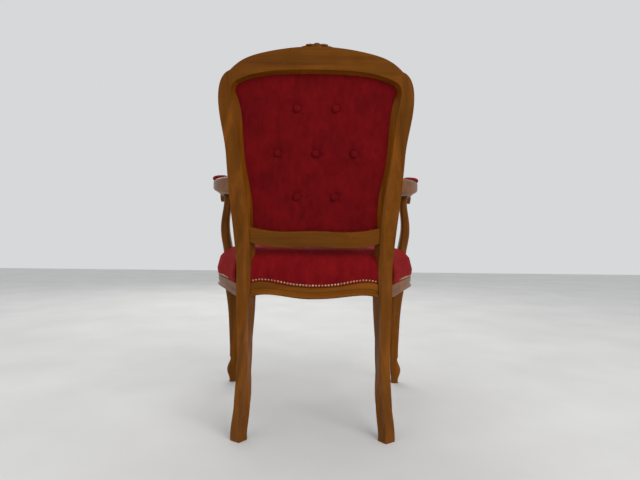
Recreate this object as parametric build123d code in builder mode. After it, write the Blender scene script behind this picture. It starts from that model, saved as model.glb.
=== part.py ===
from build123d import *

import math
import os

# Open armchair with a shaped beech frame, an upholstered buttoned back and a sprung, overstuffed seat.
# Millimetres. +Z is up, the sitter faces -Y, and the sitter's left is +X.
# The origin is on the floor under the middle of the chair.

# Heights of the seat frame
RAIL_TOP = 420.0
RAIL_BOTTOM = 350.0
RAIL_THICKNESS = 27.0
COVER_REBATE = 3.0

# Raked plane of the back: where it crosses the seat, and its lean
BACK_FOOT_Y = 188.0
BACK_FOOT_Z = 440.0
BACK_RAKE = 10.8
FRAME_THICKNESS = 31.0

# Back frame outline, measured up the raked plane from the seat
WAIST_UP = 84.0
ARM_UP = 200.0
CHEST_UP = 306.0
SHOULDER_UP = 428.0
SHOULDER_CENTRE_X = 183.0
SHOULDER_INNER_RADIUS = 27.0
SHOULDER_OUTER_RADIUS = 58.5
CREST_JOINT_ANGLE = 64.0
CREST_JOINT_INNER = 35.5
CREST_JOINT_OUTER = 64.0
CREST_UNDERSIDE_UP = 488.5
CREST_TOP_UP = 542.0

# Half widths of the back frame on its rear face, inner and outer, from seat to chest
SEAT_INNER_X = 168.5
SEAT_OUTER_X = 206.0
WAIST_INNER_X = 172.0
WAIST_OUTER_X = 211.5
ARM_INNER_X = 180.5
ARM_OUTER_X = 221.5
CHEST_INNER_X = 195.0
CHEST_OUTER_X = 228.0

# Lip that the inner edge of the back frame leaves in front of the rear opening
LIP_WIDTH = 12.0
LIP_BEVEL_DEPTH = 17.0
CREST_LIP_WIDTH = 8.0

# Moulding on the front of the back frame
INNER_BEAD = 6.0
OUTER_BEAD = 8.0
MOULDING_DEPTH = 3.0
MOULDING_SLOPE = 2.5
FRAME_EDGE_RADIUS = 1.1

# Rear leg below the seat
REAR_FOOT_X = 185.2
REAR_FOOT_Y = 264.0
REAR_FOOT_SIDE = 29.0
REAR_FOOT_TWIST = 35.0

# Lower back rail
LOWER_RAIL_MIDDLE_UP = 66.5
LOWER_RAIL_RISE = 19.0
LOWER_RAIL_DROP = 4.0
LOWER_RAIL_HEIGHT = 42.0
LOWER_RAIL_THICKNESS = 22.0
LOWER_RAIL_SET_IN = 5.0

# Plan of the seat: outer faces of the rails
REAR_RAIL_Y = 200.0
SIDE_RAIL_REAR_Y = 186.0
SIDE_RAIL_BOW = 33.0
FRONT_RAIL_MIDDLE_Y = -300.6
NAIL_LINE = 387.0
BEAD_HEIGHT = 9.0
BEAD_PROUD = 2.0
GROOVE_DEPTH = 1.5
RAIL_EDGE_RADIUS = 0.7

# Front leg
FRONT_LEG_X = 291.0
FRONT_LEG_Y = -240.0
FRONT_BLOCK_SIDE = 50.0
FRONT_FOOT_SIDE = 25.0
ANKLE_SIDE = 28.5
ANKLE_HEIGHT = 92.0
TOE_HEIGHT = 40.0
TOE_SIDE = 35.0
LEG_ROUNDING = 0.24

# Arms
ARM_REAR_HEIGHT = 640.0
ARM_TOP_HEIGHT = 660.0
ARM_WIDTH = 38.0
ARM_REAR_THICKNESS = 46.0
ARM_THICKNESS = 34.0
ARM_WIDEST_X = 283.0
ARM_FRONT_Y = -112.0
SCROLL_RADIUS = 21.0
SUPPORT_Y = -72.0
SUPPORT_BASE_WIDTH = 28.0
SUPPORT_BASE_DEPTH = 44.0
SUPPORT_TOP_SIDE = 25.0

# Arm pads
ARM_PAD_WIDTH = 45.0
ARM_PAD_CROWN = 20.0
ARM_PAD_REAR_Y = 112.0
ARM_PAD_FRONT_Y = -58.0
ARM_PAD_GAP = 0.4

# Seat upholstery
SEAT_CROWN_HEIGHT = 476.0
SEAT_BULGE = 4.0
SEAT_SHOULDER_HEIGHT = 446.0
SOFT_CLEARANCE = 0.4
SPRING_WIRE = 3.4
SPRING_ROWS = 5
SPRING_PITCH = 70.0
SPRING_LOOP_RADIUS = 11.0
SPRING_HALF_WIDTH = 26.0
CLIP_WIDTH = 16.0
CLIP_DEPTH = 9.0
HESSIAN_THICKNESS = 1.5
DUST_COVER_THICKNESS = 0.8
DUST_COVER_HEIGHT = 364.0

# Back upholstery
BACK_PAD_PROUD = 24.0
NAIL_BORDER = 10.0
REAR_COVER_THICKNESS = 4.5
REAR_COVER_CROWN = 5.5
BUTTON_RADIUS = 8.0
BUTTON_HEIGHT = 5.0
BUTTON_SPACING_X = 97.0
BUTTON_SPACING_UP = 111.0
BUTTON_MIDDLE_UP = 287.0
FRONT_TUFT_DEPTH = 9.0
FRONT_TUFT_RADIUS = 24.0
REAR_TUFT_DEPTH = 3.5
REAR_TUFT_RADIUS = 14.0
TWINE_RADIUS = 0.9
WEB_WIDTH = 40.0
WEB_THICKNESS = 0.8

# Fasteners and trim
NAIL_RADIUS = 3.6
NAIL_DOME = 2.1
NAIL_PITCH = 8.3
NAIL_RISE = 4.3
DOWEL_RADIUS = 4.0
DOWEL_LENGTH = 46.0
DOWEL_FIT = 0.05
CORNER_BLOCK_HEIGHT = 30.0

# Applied carving on the crest
CARVING_HALF_WIDTH = 39.0
CARVING_RISE = 7.5
CARVING_PROUD = 4.5

RAKE = math.radians(BACK_RAKE)
BACK_PLANE = Plane(
    origin=(0, BACK_FOOT_Y, BACK_FOOT_Z),
    x_dir=(1, 0, 0),
    z_dir=(0, -math.cos(RAKE), math.sin(RAKE)),
)
PIECES = {}


def keep(part, name):
    """Labels a finished piece and remembers it for writing."""
    part.label = name
    PIECES[name] = part
    return part


def on_back(x, up, front=0.0):
    """A point given across, up and in front of the middle of the back frame."""
    return BACK_PLANE.from_local_coords(Vector(x, up, front))


def rounded_outline(plane, corners, eased, radius):
    """One loft section: a closed outline of straight edges; the corners at the eased places are rounded."""
    with BuildSketch(plane) as outline:
        with BuildLine():
            Polyline(*corners, close=True)
        make_face()
        spots = [plane.from_local_coords(Vector(*corners[place], 0)) for place in eased]
        fillet([outline.vertices().sort_by_distance(spot)[0] for spot in spots], radius)
    return outline.sketch


def mirrored(part, name):
    """The same piece for the sitter's right side."""
    with BuildPart() as copy:
        mirror(part, about=Plane.YZ)
    return keep(copy.part, name)


# Dowels: each joint names its middle, its direction and how the dowels stand across it
DOWELS = []


def dowel_pair(middle, along, across, spacing):
    """Two dowels across one joint, spaced along a direction in the joint's face."""
    for side in (-1, 1):
        DOWELS.append((Vector(middle) + Vector(across).normalized() * side * spacing / 2, Vector(along)))


def dowel_solids(radius, length):
    """All dowels of the frame, on both sides of the chair, as separate cylinders."""
    solids = []
    for middle, along in DOWELS:
        for side in (1, -1):
            axis = Vector(along.X * side, along.Y, along.Z)
            seam = axis.cross(Vector(0.3 * side, 0.5, 0.8))
            place = Plane(origin=(middle.X * side, middle.Y, middle.Z), x_dir=seam, z_dir=axis)
            solids.append(place * Cylinder(radius, length))
    return solids


# Back frame: sections across the raked members


# Places in the list of a section's corners that are rounded
OUTER_CORNERS = (0, 1, 3, 8)
RAIL_CORNERS = (2, 3)


def frame_corners(inner, outer, lip, bevel, thickness, recess):
    """Corners of a back frame section: across from the inner to the outer edge, then rear to front."""
    rear = -thickness / 2
    front = thickness / 2
    edge = inner - lip
    return [
        (outer, rear),
        (inner, rear),
        (edge, rear + bevel),
        (edge, front),
        (edge + INNER_BEAD, front),
        (edge + INNER_BEAD + MOULDING_SLOPE, front - recess),
        (outer - OUTER_BEAD - MOULDING_SLOPE, front - recess),
        (outer - OUTER_BEAD, front),
        (outer, front),
    ]


def back_section(anchor, angle, inner, outer, lip, bevel):
    """Section of the back frame across a line from anchor at angle, moulded on the front."""
    turn = math.radians(angle)
    across = BACK_PLANE.x_dir * math.cos(turn) + BACK_PLANE.y_dir * math.sin(turn)
    plane = Plane(origin=on_back(*anchor), x_dir=across, z_dir=across.cross(BACK_PLANE.z_dir))
    corners = frame_corners(inner, outer, lip, bevel, FRAME_THICKNESS, MOULDING_DEPTH)
    return rounded_outline(plane, corners, OUTER_CORNERS, FRAME_EDGE_RADIUS)


def leg_section(height, centre, twist, width, slant, depth):
    """Level section of the rear leg, turned about its centre; the front keeps a faint flute."""
    turn = math.radians(twist)
    plane = Plane(origin=(*centre, height), x_dir=(math.cos(turn), -math.sin(turn), 0), z_dir=(0, 0, -1))
    corners = frame_corners(-width / 2, width / 2, slant, depth - LEG_INNER_FLAT, depth, LEG_FLUTE_DEPTH)
    return rounded_outline(plane, corners, OUTER_CORNERS, FRAME_EDGE_RADIUS)


SHOULDER = (SHOULDER_CENTRE_X, SHOULDER_UP)
LEG_INNER_FLAT = 6.0
LEG_FLUTE_DEPTH = 0.8
SEAT_BEVEL = FRAME_THICKNESS - LEG_INNER_FLAT
WAIST_BEVEL = 24.0

# Stations of the rear leg from the floor to just under the seat:
# height, centre, twist, rear width, slant of the inner face, depth
KNEE_HEIGHT = RAIL_BOTTOM - 16.0
REAR_LEG_STATIONS = [
    (0.0, (REAR_FOOT_X, REAR_FOOT_Y), REAR_FOOT_TWIST, REAR_FOOT_SIDE, 1.5, REAR_FOOT_SIDE),
    (32.0, (REAR_FOOT_X, REAR_FOOT_Y - 9.0), 33.0, REAR_FOOT_SIDE, 1.5, REAR_FOOT_SIDE + 0.5),
    (KNEE_HEIGHT * 0.4, (180.5, 227.0), 22.0, 27.0, 1.8, 31.5),
    (KNEE_HEIGHT * 0.68, (182.0, 204.0), 14.0, 27.5, 2.5, 34.0),
    (KNEE_HEIGHT, (187.0, 189.5), 7.0, 31.0, 12.0, 36.0),
    (RAIL_TOP - 30.0, (186.5, 186.5), 2.0, 36.5, 11.0, 34.0),
]

leg_sections = [leg_section(*station) for station in REAR_LEG_STATIONS]
stile_sections = [
    back_section((0, 0), 0, SEAT_INNER_X, SEAT_OUTER_X, LIP_WIDTH, SEAT_BEVEL),
    back_section((0, WAIST_UP), 0, WAIST_INNER_X, WAIST_OUTER_X, LIP_WIDTH, WAIST_BEVEL),
    back_section((0, ARM_UP), 0, ARM_INNER_X, ARM_OUTER_X, LIP_WIDTH, LIP_BEVEL_DEPTH),
    back_section((0, CHEST_UP), 0, CHEST_INNER_X, CHEST_OUTER_X, LIP_WIDTH, LIP_BEVEL_DEPTH),
]
for share in (0, 0.5, 1):
    inner = SHOULDER_INNER_RADIUS + (CREST_JOINT_INNER - SHOULDER_INNER_RADIUS) * share
    outer = SHOULDER_OUTER_RADIUS + (CREST_JOINT_OUTER - SHOULDER_OUTER_RADIUS) * share
    lip = LIP_WIDTH + (CREST_LIP_WIDTH - LIP_WIDTH) * share
    stile_sections.append(
        back_section(SHOULDER, CREST_JOINT_ANGLE * share, inner, outer, lip, LIP_BEVEL_DEPTH)
    )

with BuildPart() as rear_leg_left:
    loft(leg_sections + stile_sections)

# Crest rail: an arch between the two shoulders, tallest in the middle.
# Each station: distance from the middle, fall of the underside, fall of the top
CREST_STATIONS = [
    (165.0, 14.5, 25.5),
    (120.0, 5.2, 13.0),
    (60.0, 0.9, 3.4),
]
joint_sizes = (CREST_JOINT_INNER, CREST_JOINT_OUTER, CREST_LIP_WIDTH, LIP_BEVEL_DEPTH)
crest_middle = (CREST_UNDERSIDE_UP, CREST_TOP_UP, CREST_LIP_WIDTH, LIP_BEVEL_DEPTH)
crest_sections = [back_section((0, 0), 90, *crest_middle)]
for x, under, over in reversed(CREST_STATIONS):
    arch_sizes = (CREST_UNDERSIDE_UP - under, CREST_TOP_UP - over, CREST_LIP_WIDTH, LIP_BEVEL_DEPTH)
    crest_sections.insert(0, back_section((x, 0), 90, *arch_sizes))
    crest_sections.append(back_section((-x, 0), 90, *arch_sizes))
crest_sections.insert(0, back_section(SHOULDER, CREST_JOINT_ANGLE, *joint_sizes))
crest_sections.append(back_section((-SHOULDER_CENTRE_X, SHOULDER_UP), 180 - CREST_JOINT_ANGLE, *joint_sizes))

with BuildPart() as crest_rail:
    loft(crest_sections)

# Lower back rail: a serpentine bar between the stiles, cut to their inner faces
LOWER_RAIL_REAR = -FRAME_THICKNESS / 2 + LOWER_RAIL_SET_IN
LOWER_RAIL_HALF_SPAN = (WAIST_INNER_X + WAIST_OUTER_X) / 2
LOWER_RAIL_WAVE_X = 62.0


def lower_rail_edge(x_share, up):
    """Points of one wavy edge of the lower back rail, from the sitter's right to left."""
    return [
        (-LOWER_RAIL_HALF_SPAN, up + LOWER_RAIL_RISE),
        (-LOWER_RAIL_WAVE_X * x_share, up - LOWER_RAIL_DROP / 2),
        (0, up),
        (LOWER_RAIL_WAVE_X * x_share, up - LOWER_RAIL_DROP / 2),
        (LOWER_RAIL_HALF_SPAN, up + LOWER_RAIL_RISE),
    ]


with BuildPart() as lower_back_rail:
    with BuildSketch(BACK_PLANE.offset(LOWER_RAIL_REAR)):
        with BuildLine():
            upper_edge = Spline(*lower_rail_edge(1.1, LOWER_RAIL_MIDDLE_UP + LOWER_RAIL_HEIGHT / 2))
            lower_edge = Spline(*lower_rail_edge(0.9, LOWER_RAIL_MIDDLE_UP - LOWER_RAIL_HEIGHT / 2))
            Line(upper_edge @ 0, lower_edge @ 0)
            Line(upper_edge @ 1, lower_edge @ 1)
        make_face()
    extrude(amount=LOWER_RAIL_THICKNESS)
    fillet(lower_back_rail.edges().filter_by(GeomType.BSPLINE), 2.5)

# Seat rails: moulded below the line of nails, rebated above it for the cover


def rail_section(point, outward, bottom, nail_line):
    """Upright section of a seat rail; across is measured outwards from its outer face."""
    facing = Vector(*outward).normalized()
    plane = Plane(origin=(*point, 0), x_dir=facing, z_dir=facing.cross(Vector(0, 0, 1)))
    corners = [
        (-RAIL_THICKNESS, bottom),
        (-BEAD_PROUD, bottom),
        (BEAD_PROUD, bottom + BEAD_HEIGHT / 3),
        (BEAD_PROUD, bottom + BEAD_HEIGHT),
        (-GROOVE_DEPTH, bottom + BEAD_HEIGHT + 3),
        (-GROOVE_DEPTH, bottom + BEAD_HEIGHT + 7),
        (0.5, bottom + BEAD_HEIGHT + 10),
        (0.5, nail_line - 3),
        (-COVER_REBATE, nail_line),
        (-COVER_REBATE, RAIL_TOP),
        (-RAIL_THICKNESS, RAIL_TOP),
    ]
    return rounded_outline(plane, corners, RAIL_CORNERS, RAIL_EDGE_RADIUS)


# Plan of the seat on the sitter's left, from the rear leg round to the middle of the front.
# Side rail: share of its length, share of its bow, rise of the bottom edge and of the nail line
BLOCK_OUTER_X = FRONT_LEG_X + FRONT_BLOCK_SIDE / 2
BLOCK_FRONT_Y = FRONT_LEG_Y - FRONT_BLOCK_SIDE / 2
SIDE_RAIL_START = Vector(SEAT_OUTER_X - 1.0, SIDE_RAIL_REAR_Y)
SIDE_RAIL_END = Vector(BLOCK_OUTER_X - 2.0, FRONT_LEG_Y + 12.0)
SIDE_SHAPE = [
    (0.0, 0.0, 0.0, 0.0),
    (0.22, 0.58, 4.0, 3.0),
    (0.45, 0.97, 7.0, 4.0),
    (0.67, 0.98, 3.0, 2.0),
    (0.83, 0.66, -1.0, -1.0),
    (1.0, 0.0, -2.0, -2.0),
]
# Front and rear rail: share of the half width, of the bow, rise of the bottom edge and of the nail line
FRONT_HALF_WIDTH = FRONT_LEG_X - 15.0
FRONT_RAIL_BOW = BLOCK_FRONT_Y - FRONT_RAIL_MIDDLE_Y
FRONT_SHAPE = [
    (1.0, 0.03, -2.0, -2.0),
    (0.725, 0.14, 4.0, 4.0),
    (0.36, 0.62, 1.0, 1.0),
    (0.0, 1.0, -10.0, -6.0),
]
REAR_HALF_WIDTH = SEAT_INNER_X + 3.5
REAR_SHAPE = [
    (1.0, 0.0, -2.0, -1.0),
    (0.79, 0.0, 6.0, 6.0),
    (0.36, 0.0, -1.0, -6.0),
    (0.0, 0.0, -5.0, -10.0),
]


def plan_normals(points):
    """Outward directions at points of the plan that run clockwise seen from above."""
    ends = [points[0]] + points + [points[-1]]
    normals = []
    for before, after in zip(ends, ends[2:]):
        step = (after - before).normalized()
        normals.append(Vector(-step.Y, step.X))
    return normals


def both_sides(points):
    """Points from the sitter's left over the middle to the right."""
    return points + [Vector(-point.X, point.Y) for point in reversed(points[:-1])]


SIDE_POINTS = [
    SIDE_RAIL_START + (SIDE_RAIL_END - SIDE_RAIL_START) * share + Vector(SIDE_RAIL_BOW * bow, 0)
    for share, bow, bottom, line in SIDE_SHAPE
]
FRONT_POINTS = both_sides(
    [
        Vector(FRONT_HALF_WIDTH * share, BLOCK_FRONT_Y - FRONT_RAIL_BOW * bow)
        for share, bow, bottom, line in FRONT_SHAPE
    ]
)
REAR_POINTS = both_sides([Vector(-REAR_HALF_WIDTH * shape[0], REAR_RAIL_Y) for shape in REAR_SHAPE])
FRONT_PROFILE = FRONT_SHAPE + FRONT_SHAPE[-2::-1]
REAR_PROFILE = REAR_SHAPE + REAR_SHAPE[-2::-1]


def rail_sections(points, normals, shape):
    return [
        rail_section(point, normal, RAIL_BOTTOM + bottom, NAIL_LINE + line)
        for point, normal, (share, bow, bottom, line) in zip(points, normals, shape)
    ]


side_normals = plan_normals(SIDE_POINTS)
front_normals = plan_normals(FRONT_POINTS)
rear_normals = plan_normals(REAR_POINTS)
with BuildPart() as side_rail_left:
    loft(rail_sections(SIDE_POINTS, side_normals, SIDE_SHAPE))
with BuildPart() as front_rail:
    loft(rail_sections(FRONT_POINTS, front_normals, FRONT_PROFILE))
with BuildPart() as rear_rail:
    loft(rail_sections(REAR_POINTS, rear_normals, REAR_PROFILE))

# Front leg: a cabriole with a corner block between the rails and a turned-out toe.
# Each station: height, shift from the block's middle, side of the square
FOOT_STATIONS = [
    (0.0, -5.0, 4.0, FRONT_FOOT_SIDE),
    (TOE_HEIGHT * 0.45, -5.0, 4.0, FRONT_FOOT_SIDE + 0.5),
    (TOE_HEIGHT, -3.0, 0.5, TOE_SIDE),
    (TOE_HEIGHT * 0.45 + ANKLE_HEIGHT * 0.5, -7.0, 4.5, TOE_SIDE - 3.0),
    (ANKLE_HEIGHT, -9.5, 10.5, ANKLE_SIDE),
]
CABRIOLE_RISE = NAIL_LINE - 2.0 - ANKLE_HEIGHT
CABRIOLE_STATIONS = [
    FOOT_STATIONS[-1],
    (ANKLE_HEIGHT + CABRIOLE_RISE * 0.2, -10.0, 11.0, ANKLE_SIDE + 2.5),
    (ANKLE_HEIGHT + CABRIOLE_RISE * 0.4, -9.0, 9.0, ANKLE_SIDE + 6.5),
    (ANKLE_HEIGHT + CABRIOLE_RISE * 0.6, -6.5, 6.0, ANKLE_SIDE + 11.5),
    (ANKLE_HEIGHT + CABRIOLE_RISE * 0.81, -1.0, 1.0, FRONT_BLOCK_SIDE - 2.0),
    (ANKLE_HEIGHT + CABRIOLE_RISE, 0.0, 0.0, FRONT_BLOCK_SIDE),
]


def square_section(height, across, back, side):
    """Level square section of the front leg with well rounded corners."""
    with BuildSketch(Plane.XY.offset(height)) as outline:
        with Locations((FRONT_LEG_X + across, FRONT_LEG_Y + back)):
            RectangleRounded(side, side, side * LEG_ROUNDING)
    return outline.sketch


foot_sections = [square_section(*station) for station in FOOT_STATIONS]
cabriole_sections = [foot_sections[-1]] + [square_section(*station) for station in CABRIOLE_STATIONS[1:]]
block_side = FRONT_BLOCK_SIDE - 2 * COVER_REBATE
block_top = square_section(ANKLE_HEIGHT + CABRIOLE_RISE, 0.0, 0.0, block_side)
with BuildPart() as front_leg_left:
    loft(foot_sections)
    loft(cabriole_sections)
    extrude(block_top, amount=RAIL_TOP - ANKLE_HEIGHT - CABRIOLE_RISE)

# Arms: bars along a swept line, ending in a scroll


def bar_sections(stations, corner_share):
    """Rounded sections square to a line of stations, each with a point, a width and a thickness."""
    points = [Vector(*point) for point, width, thickness in stations]
    sections = []
    for index, (point, width, thickness) in enumerate(stations):
        before = points[max(index - 1, 0)]
        after = points[min(index + 1, len(points) - 1)]
        along = (after - before).normalized()
        sideways = along.cross(Vector(0, 1, 0) if abs(along.Z) > 0.8 else Vector(0, 0, 1)).normalized()
        with BuildSketch(Plane(origin=point, x_dir=sideways, z_dir=along)) as outline:
            RectangleRounded(width, thickness, min(width, thickness) * corner_share)
        sections.append(outline.sketch)
    return sections


def outer_face_x(y):
    """Outer face of the side rail at a place along it."""
    for rear, front in zip(SIDE_POINTS, SIDE_POINTS[1:]):
        if front.Y <= y:
            return rear.X + (front.X - rear.X) * (rear.Y - y) / (rear.Y - front.Y)
    return SIDE_POINTS[-1].X


ARM_STATIONS = [
    ((ARM_OUTER_X - 14.0, 222.0, ARM_REAR_HEIGHT), ARM_WIDTH - 8.0, ARM_REAR_THICKNESS),
    ((ARM_WIDEST_X - 43.0, 172.0, ARM_REAR_HEIGHT + 6.0), ARM_WIDTH - 6.0, ARM_REAR_THICKNESS - 3.0),
    ((ARM_WIDEST_X - 15.0, 105.0, ARM_TOP_HEIGHT - 6.0), ARM_WIDTH - 1.0, ARM_THICKNESS + 3.0),
    ((ARM_WIDEST_X, 25.0, ARM_TOP_HEIGHT), ARM_WIDTH, ARM_THICKNESS),
    ((ARM_WIDEST_X + 2.0, -45.0, ARM_TOP_HEIGHT - 2.0), ARM_WIDTH, ARM_THICKNESS),
    ((ARM_WIDEST_X + 7.0, ARM_FRONT_Y, ARM_TOP_HEIGHT - 10.0), ARM_WIDTH - 4.0, ARM_THICKNESS - 4.0),
]
SCROLL_CENTRE = (ARM_WIDEST_X + 8.0, ARM_FRONT_Y - 4.0, ARM_TOP_HEIGHT - 16.0)
SUPPORT_BASE_Y = SUPPORT_Y - 16.0
SUPPORT_BASE_X = outer_face_x(SUPPORT_BASE_Y) - COVER_REBATE - SUPPORT_BASE_WIDTH / 2
SUPPORT_RISE = ARM_TOP_HEIGHT - RAIL_TOP


def support_point(inwards, forwards, share):
    """A point of the arm support, at a share of its rise above the rail."""
    return (SUPPORT_BASE_X - inwards, SUPPORT_Y - forwards, RAIL_TOP + SUPPORT_RISE * share)


SUPPORT_STATIONS = [
    ((SUPPORT_BASE_X, SUPPORT_BASE_Y, RAIL_TOP - 12.0), SUPPORT_BASE_WIDTH, SUPPORT_BASE_DEPTH),
    (support_point(12.0, 20.0, 0.2), SUPPORT_BASE_WIDTH, SUPPORT_BASE_DEPTH - 6.0),
    (support_point(4.0, 18.0, 0.4), SUPPORT_BASE_WIDTH, SUPPORT_BASE_DEPTH - 11.0),
    (support_point(6.0, 6.0, 0.63), SUPPORT_TOP_SIDE, SUPPORT_TOP_SIDE + 3.0),
    ((ARM_WIDEST_X + 3.0, SUPPORT_Y, ARM_TOP_HEIGHT - 4.0), SUPPORT_TOP_SIDE, SUPPORT_TOP_SIDE),
]
with BuildPart() as arm_left:
    loft(bar_sections(ARM_STATIONS, 0.3))
    with Locations(Plane(origin=SCROLL_CENTRE, z_dir=(1, 0, 0))):
        Cylinder(SCROLL_RADIUS, ARM_WIDTH - 2.0)
    add(rear_leg_left.part, mode=Mode.SUBTRACT)
with BuildPart() as arm_support_left:
    loft(bar_sections(SUPPORT_STATIONS, 0.34))
    add(arm_left.part, mode=Mode.SUBTRACT)
    split(bisect_by=Plane.XY.offset(RAIL_TOP), keep=Keep.TOP)

# Rails meet the legs in butt joints: each is cut to the legs at its ends


def fitted(part, *legs):
    """The main solid of a member once its ends inside the legs are cut away."""
    with BuildPart() as member:
        add(part)
        for leg in legs:
            add(leg, mode=Mode.SUBTRACT)
    return member.solids().sort_by(SortBy.VOLUME)[-1]


with BuildPart() as rear_leg_copy:
    mirror(rear_leg_left.part, about=Plane.YZ)
with BuildPart() as front_leg_copy:
    mirror(front_leg_left.part, about=Plane.YZ)
fitted_lower_rail = fitted(lower_back_rail.part, rear_leg_left.part, rear_leg_copy.part)
fitted_rear_rail = fitted(rear_rail.part, rear_leg_left.part, rear_leg_copy.part)
fitted_front_rail = fitted(front_rail.part, front_leg_copy.part)
fitted_side_rail = fitted(side_rail_left.part, rear_leg_left.part, front_leg_left.part)

# Dowels across the joints of the frame
JOINT_ACROSS = BACK_PLANE.x_dir * math.cos(math.radians(CREST_JOINT_ANGLE)) + BACK_PLANE.y_dir * math.sin(
    math.radians(CREST_JOINT_ANGLE)
)
JOINT_ALONG = JOINT_ACROSS.cross(BACK_PLANE.z_dir)
JOINT_RADIUS = (CREST_JOINT_INNER - CREST_LIP_WIDTH / 2 + CREST_JOINT_OUTER) / 2
JOINT_MIDDLE = on_back(*SHOULDER) + JOINT_ACROSS * JOINT_RADIUS
RAIL_MIDDLE = (RAIL_TOP + RAIL_BOTTOM) / 2 - 3.0
WIDE_SPACING = 40.0
NARROW_SPACING = 16.0
SEAT_EDGE_X = SEAT_INNER_X - LIP_WIDTH / 2
REAR_RAIL_CORE_Y = REAR_RAIL_Y - RAIL_THICKNESS / 2
side_core = SIDE_POINTS[0] - side_normals[0] * (RAIL_THICKNESS / 2)
side_rear_step = (SIDE_POINTS[1] - SIDE_POINTS[0]).normalized()
side_front_step = (SIDE_POINTS[-1] - SIDE_POINTS[-2]).normalized()
front_core_x = SIDE_POINTS[-1].X - RAIL_THICKNESS / 2
LOWER_JOINT_UP = LOWER_RAIL_MIDDLE_UP + LOWER_RAIL_RISE * 0.75
ARM_JOINT = (Vector(*ARM_STATIONS[0][0]) + Vector(*ARM_STATIONS[1][0]) * 0.55) * (1 / 1.55)
dowel_pair(JOINT_MIDDLE, JOINT_ALONG, BACK_PLANE.z_dir, NARROW_SPACING - 3.0)
LOWER_JOINT = on_back(WAIST_INNER_X - LIP_WIDTH / 2, LOWER_JOINT_UP)
dowel_pair(LOWER_JOINT, Vector(1, 0, 0), BACK_PLANE.y_dir, NARROW_SPACING)
dowel_pair((SEAT_EDGE_X, REAR_RAIL_CORE_Y, RAIL_MIDDLE), Vector(1, 0, 0), (0, 0, 1), WIDE_SPACING)
dowel_pair(
    (side_core.X + side_rear_step.X * 14.0, side_core.Y + side_rear_step.Y * 14.0, RAIL_MIDDLE),
    Vector(side_rear_step.X, side_rear_step.Y, 0), (0, 0, 1), NARROW_SPACING,
)
dowel_pair(
    (front_core_x, FRONT_LEG_Y + FRONT_BLOCK_SIDE / 2, RAIL_MIDDLE),
    Vector(side_front_step.X, side_front_step.Y, 0), (0, 0, 1), NARROW_SPACING,
)
dowel_pair(
    (FRONT_LEG_X - FRONT_BLOCK_SIDE / 2, BLOCK_FRONT_Y + RAIL_THICKNESS / 2, RAIL_MIDDLE),
    Vector(1, 0, 0), (0, 0, 1), WIDE_SPACING,
)
DOWELS.append((ARM_JOINT, (Vector(*ARM_STATIONS[1][0]) - Vector(*ARM_STATIONS[0][0])).normalized()))
DOWELS.append((Vector(ARM_WIDEST_X + 3.0, SUPPORT_Y, ARM_TOP_HEIGHT - ARM_THICKNESS / 2), Vector(0, 0, 1)))
DOWELS.append((Vector(SUPPORT_BASE_X, SUPPORT_BASE_Y, RAIL_TOP), Vector(0, 0, 1)))

dowels = dowel_solids(DOWEL_RADIUS, DOWEL_LENGTH)
dowel_holes = dowel_solids(DOWEL_RADIUS + DOWEL_FIT, DOWEL_LENGTH + 2.0)


def bored(part, name, sides=(1, -1)):
    """A wooden piece with its dowel holes, on both sides of the chair or on one."""
    room = part.bounding_box(tolerance=0.5, optimal=False)
    near = []
    for hole in dowel_holes:
        middle = hole.center()
        reach = DOWEL_LENGTH
        if math.copysign(1, middle.X) not in sides:
            continue
        near_x = room.min.X - reach < middle.X < room.max.X + reach
        near_y = room.min.Y - reach < middle.Y < room.max.Y + reach
        if near_x and near_y:
            if room.min.Z - reach < middle.Z < room.max.Z + reach:
                near.append(hole)
    with BuildPart() as piece:
        add(part)
        add(near, mode=Mode.SUBTRACT)
    return keep(piece.part, name)


bored(crest_rail.part, "crest_rail")
bored(fitted_lower_rail, "lower_back_rail")
bored(fitted_rear_rail, "rear_seat_rail")
bored(fitted_front_rail, "front_seat_rail", (-1,))
with BuildPart() as front_seat_rail:
    add(PIECES["front_seat_rail"])
    split(bisect_by=Plane.YZ, keep=Keep.BOTTOM)
    mirror(about=Plane.YZ)
keep(front_seat_rail.part, "front_seat_rail")
for name, part in (
    ("rear_leg", rear_leg_left.part),
    ("front_leg", front_leg_left.part),
    ("side_seat_rail", fitted_side_rail),
    ("arm", arm_left.part),
    ("arm_support", arm_support_left.part),
):
    mirrored(bored(part, name + "_left"), name + "_right")
with BuildPart() as frame_dowels:
    add(dowels)
keep(frame_dowels.part, "frame_dowels")

# Corner braces: glued inside the four corners of the seat frame, cut to the rails and the leg they meet
BRACE_TOP = RAIL_TOP - 8.0
REAR_RAIL_INNER_Y = REAR_RAIL_Y - RAIL_THICKNESS
REAR_BRACE = [
    (SEAT_INNER_X - 68.0, REAR_RAIL_INNER_Y + 1.0),
    (SEAT_INNER_X - LIP_WIDTH - 3.0, REAR_RAIL_INNER_Y + 1.0),
    (SEAT_INNER_X - LIP_WIDTH - 3.0, REAR_RAIL_INNER_Y - 6.0),
    (SEAT_OUTER_X - 14.0, REAR_RAIL_INNER_Y - 6.0),
    (SEAT_OUTER_X + 8.0, REAR_RAIL_INNER_Y - 45.0),
    (SEAT_OUTER_X - 8.0, REAR_RAIL_INNER_Y - 51.0),
]
FRONT_BRACE = [
    (FRONT_LEG_X - 91.0, FRONT_LEG_Y - 6.0),
    (FRONT_LEG_X + 9.0, FRONT_LEG_Y - 6.0),
    (FRONT_LEG_X + 9.0, FRONT_LEG_Y + 75.0),
]


def corner_brace(corners, *neighbours):
    with BuildPart() as brace:
        with BuildSketch(Plane.XY.offset(BRACE_TOP - CORNER_BLOCK_HEIGHT)):
            with BuildLine():
                Polyline(*corners, close=True)
            make_face()
        extrude(amount=CORNER_BLOCK_HEIGHT)
    return fitted(brace.part, *neighbours)


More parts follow.
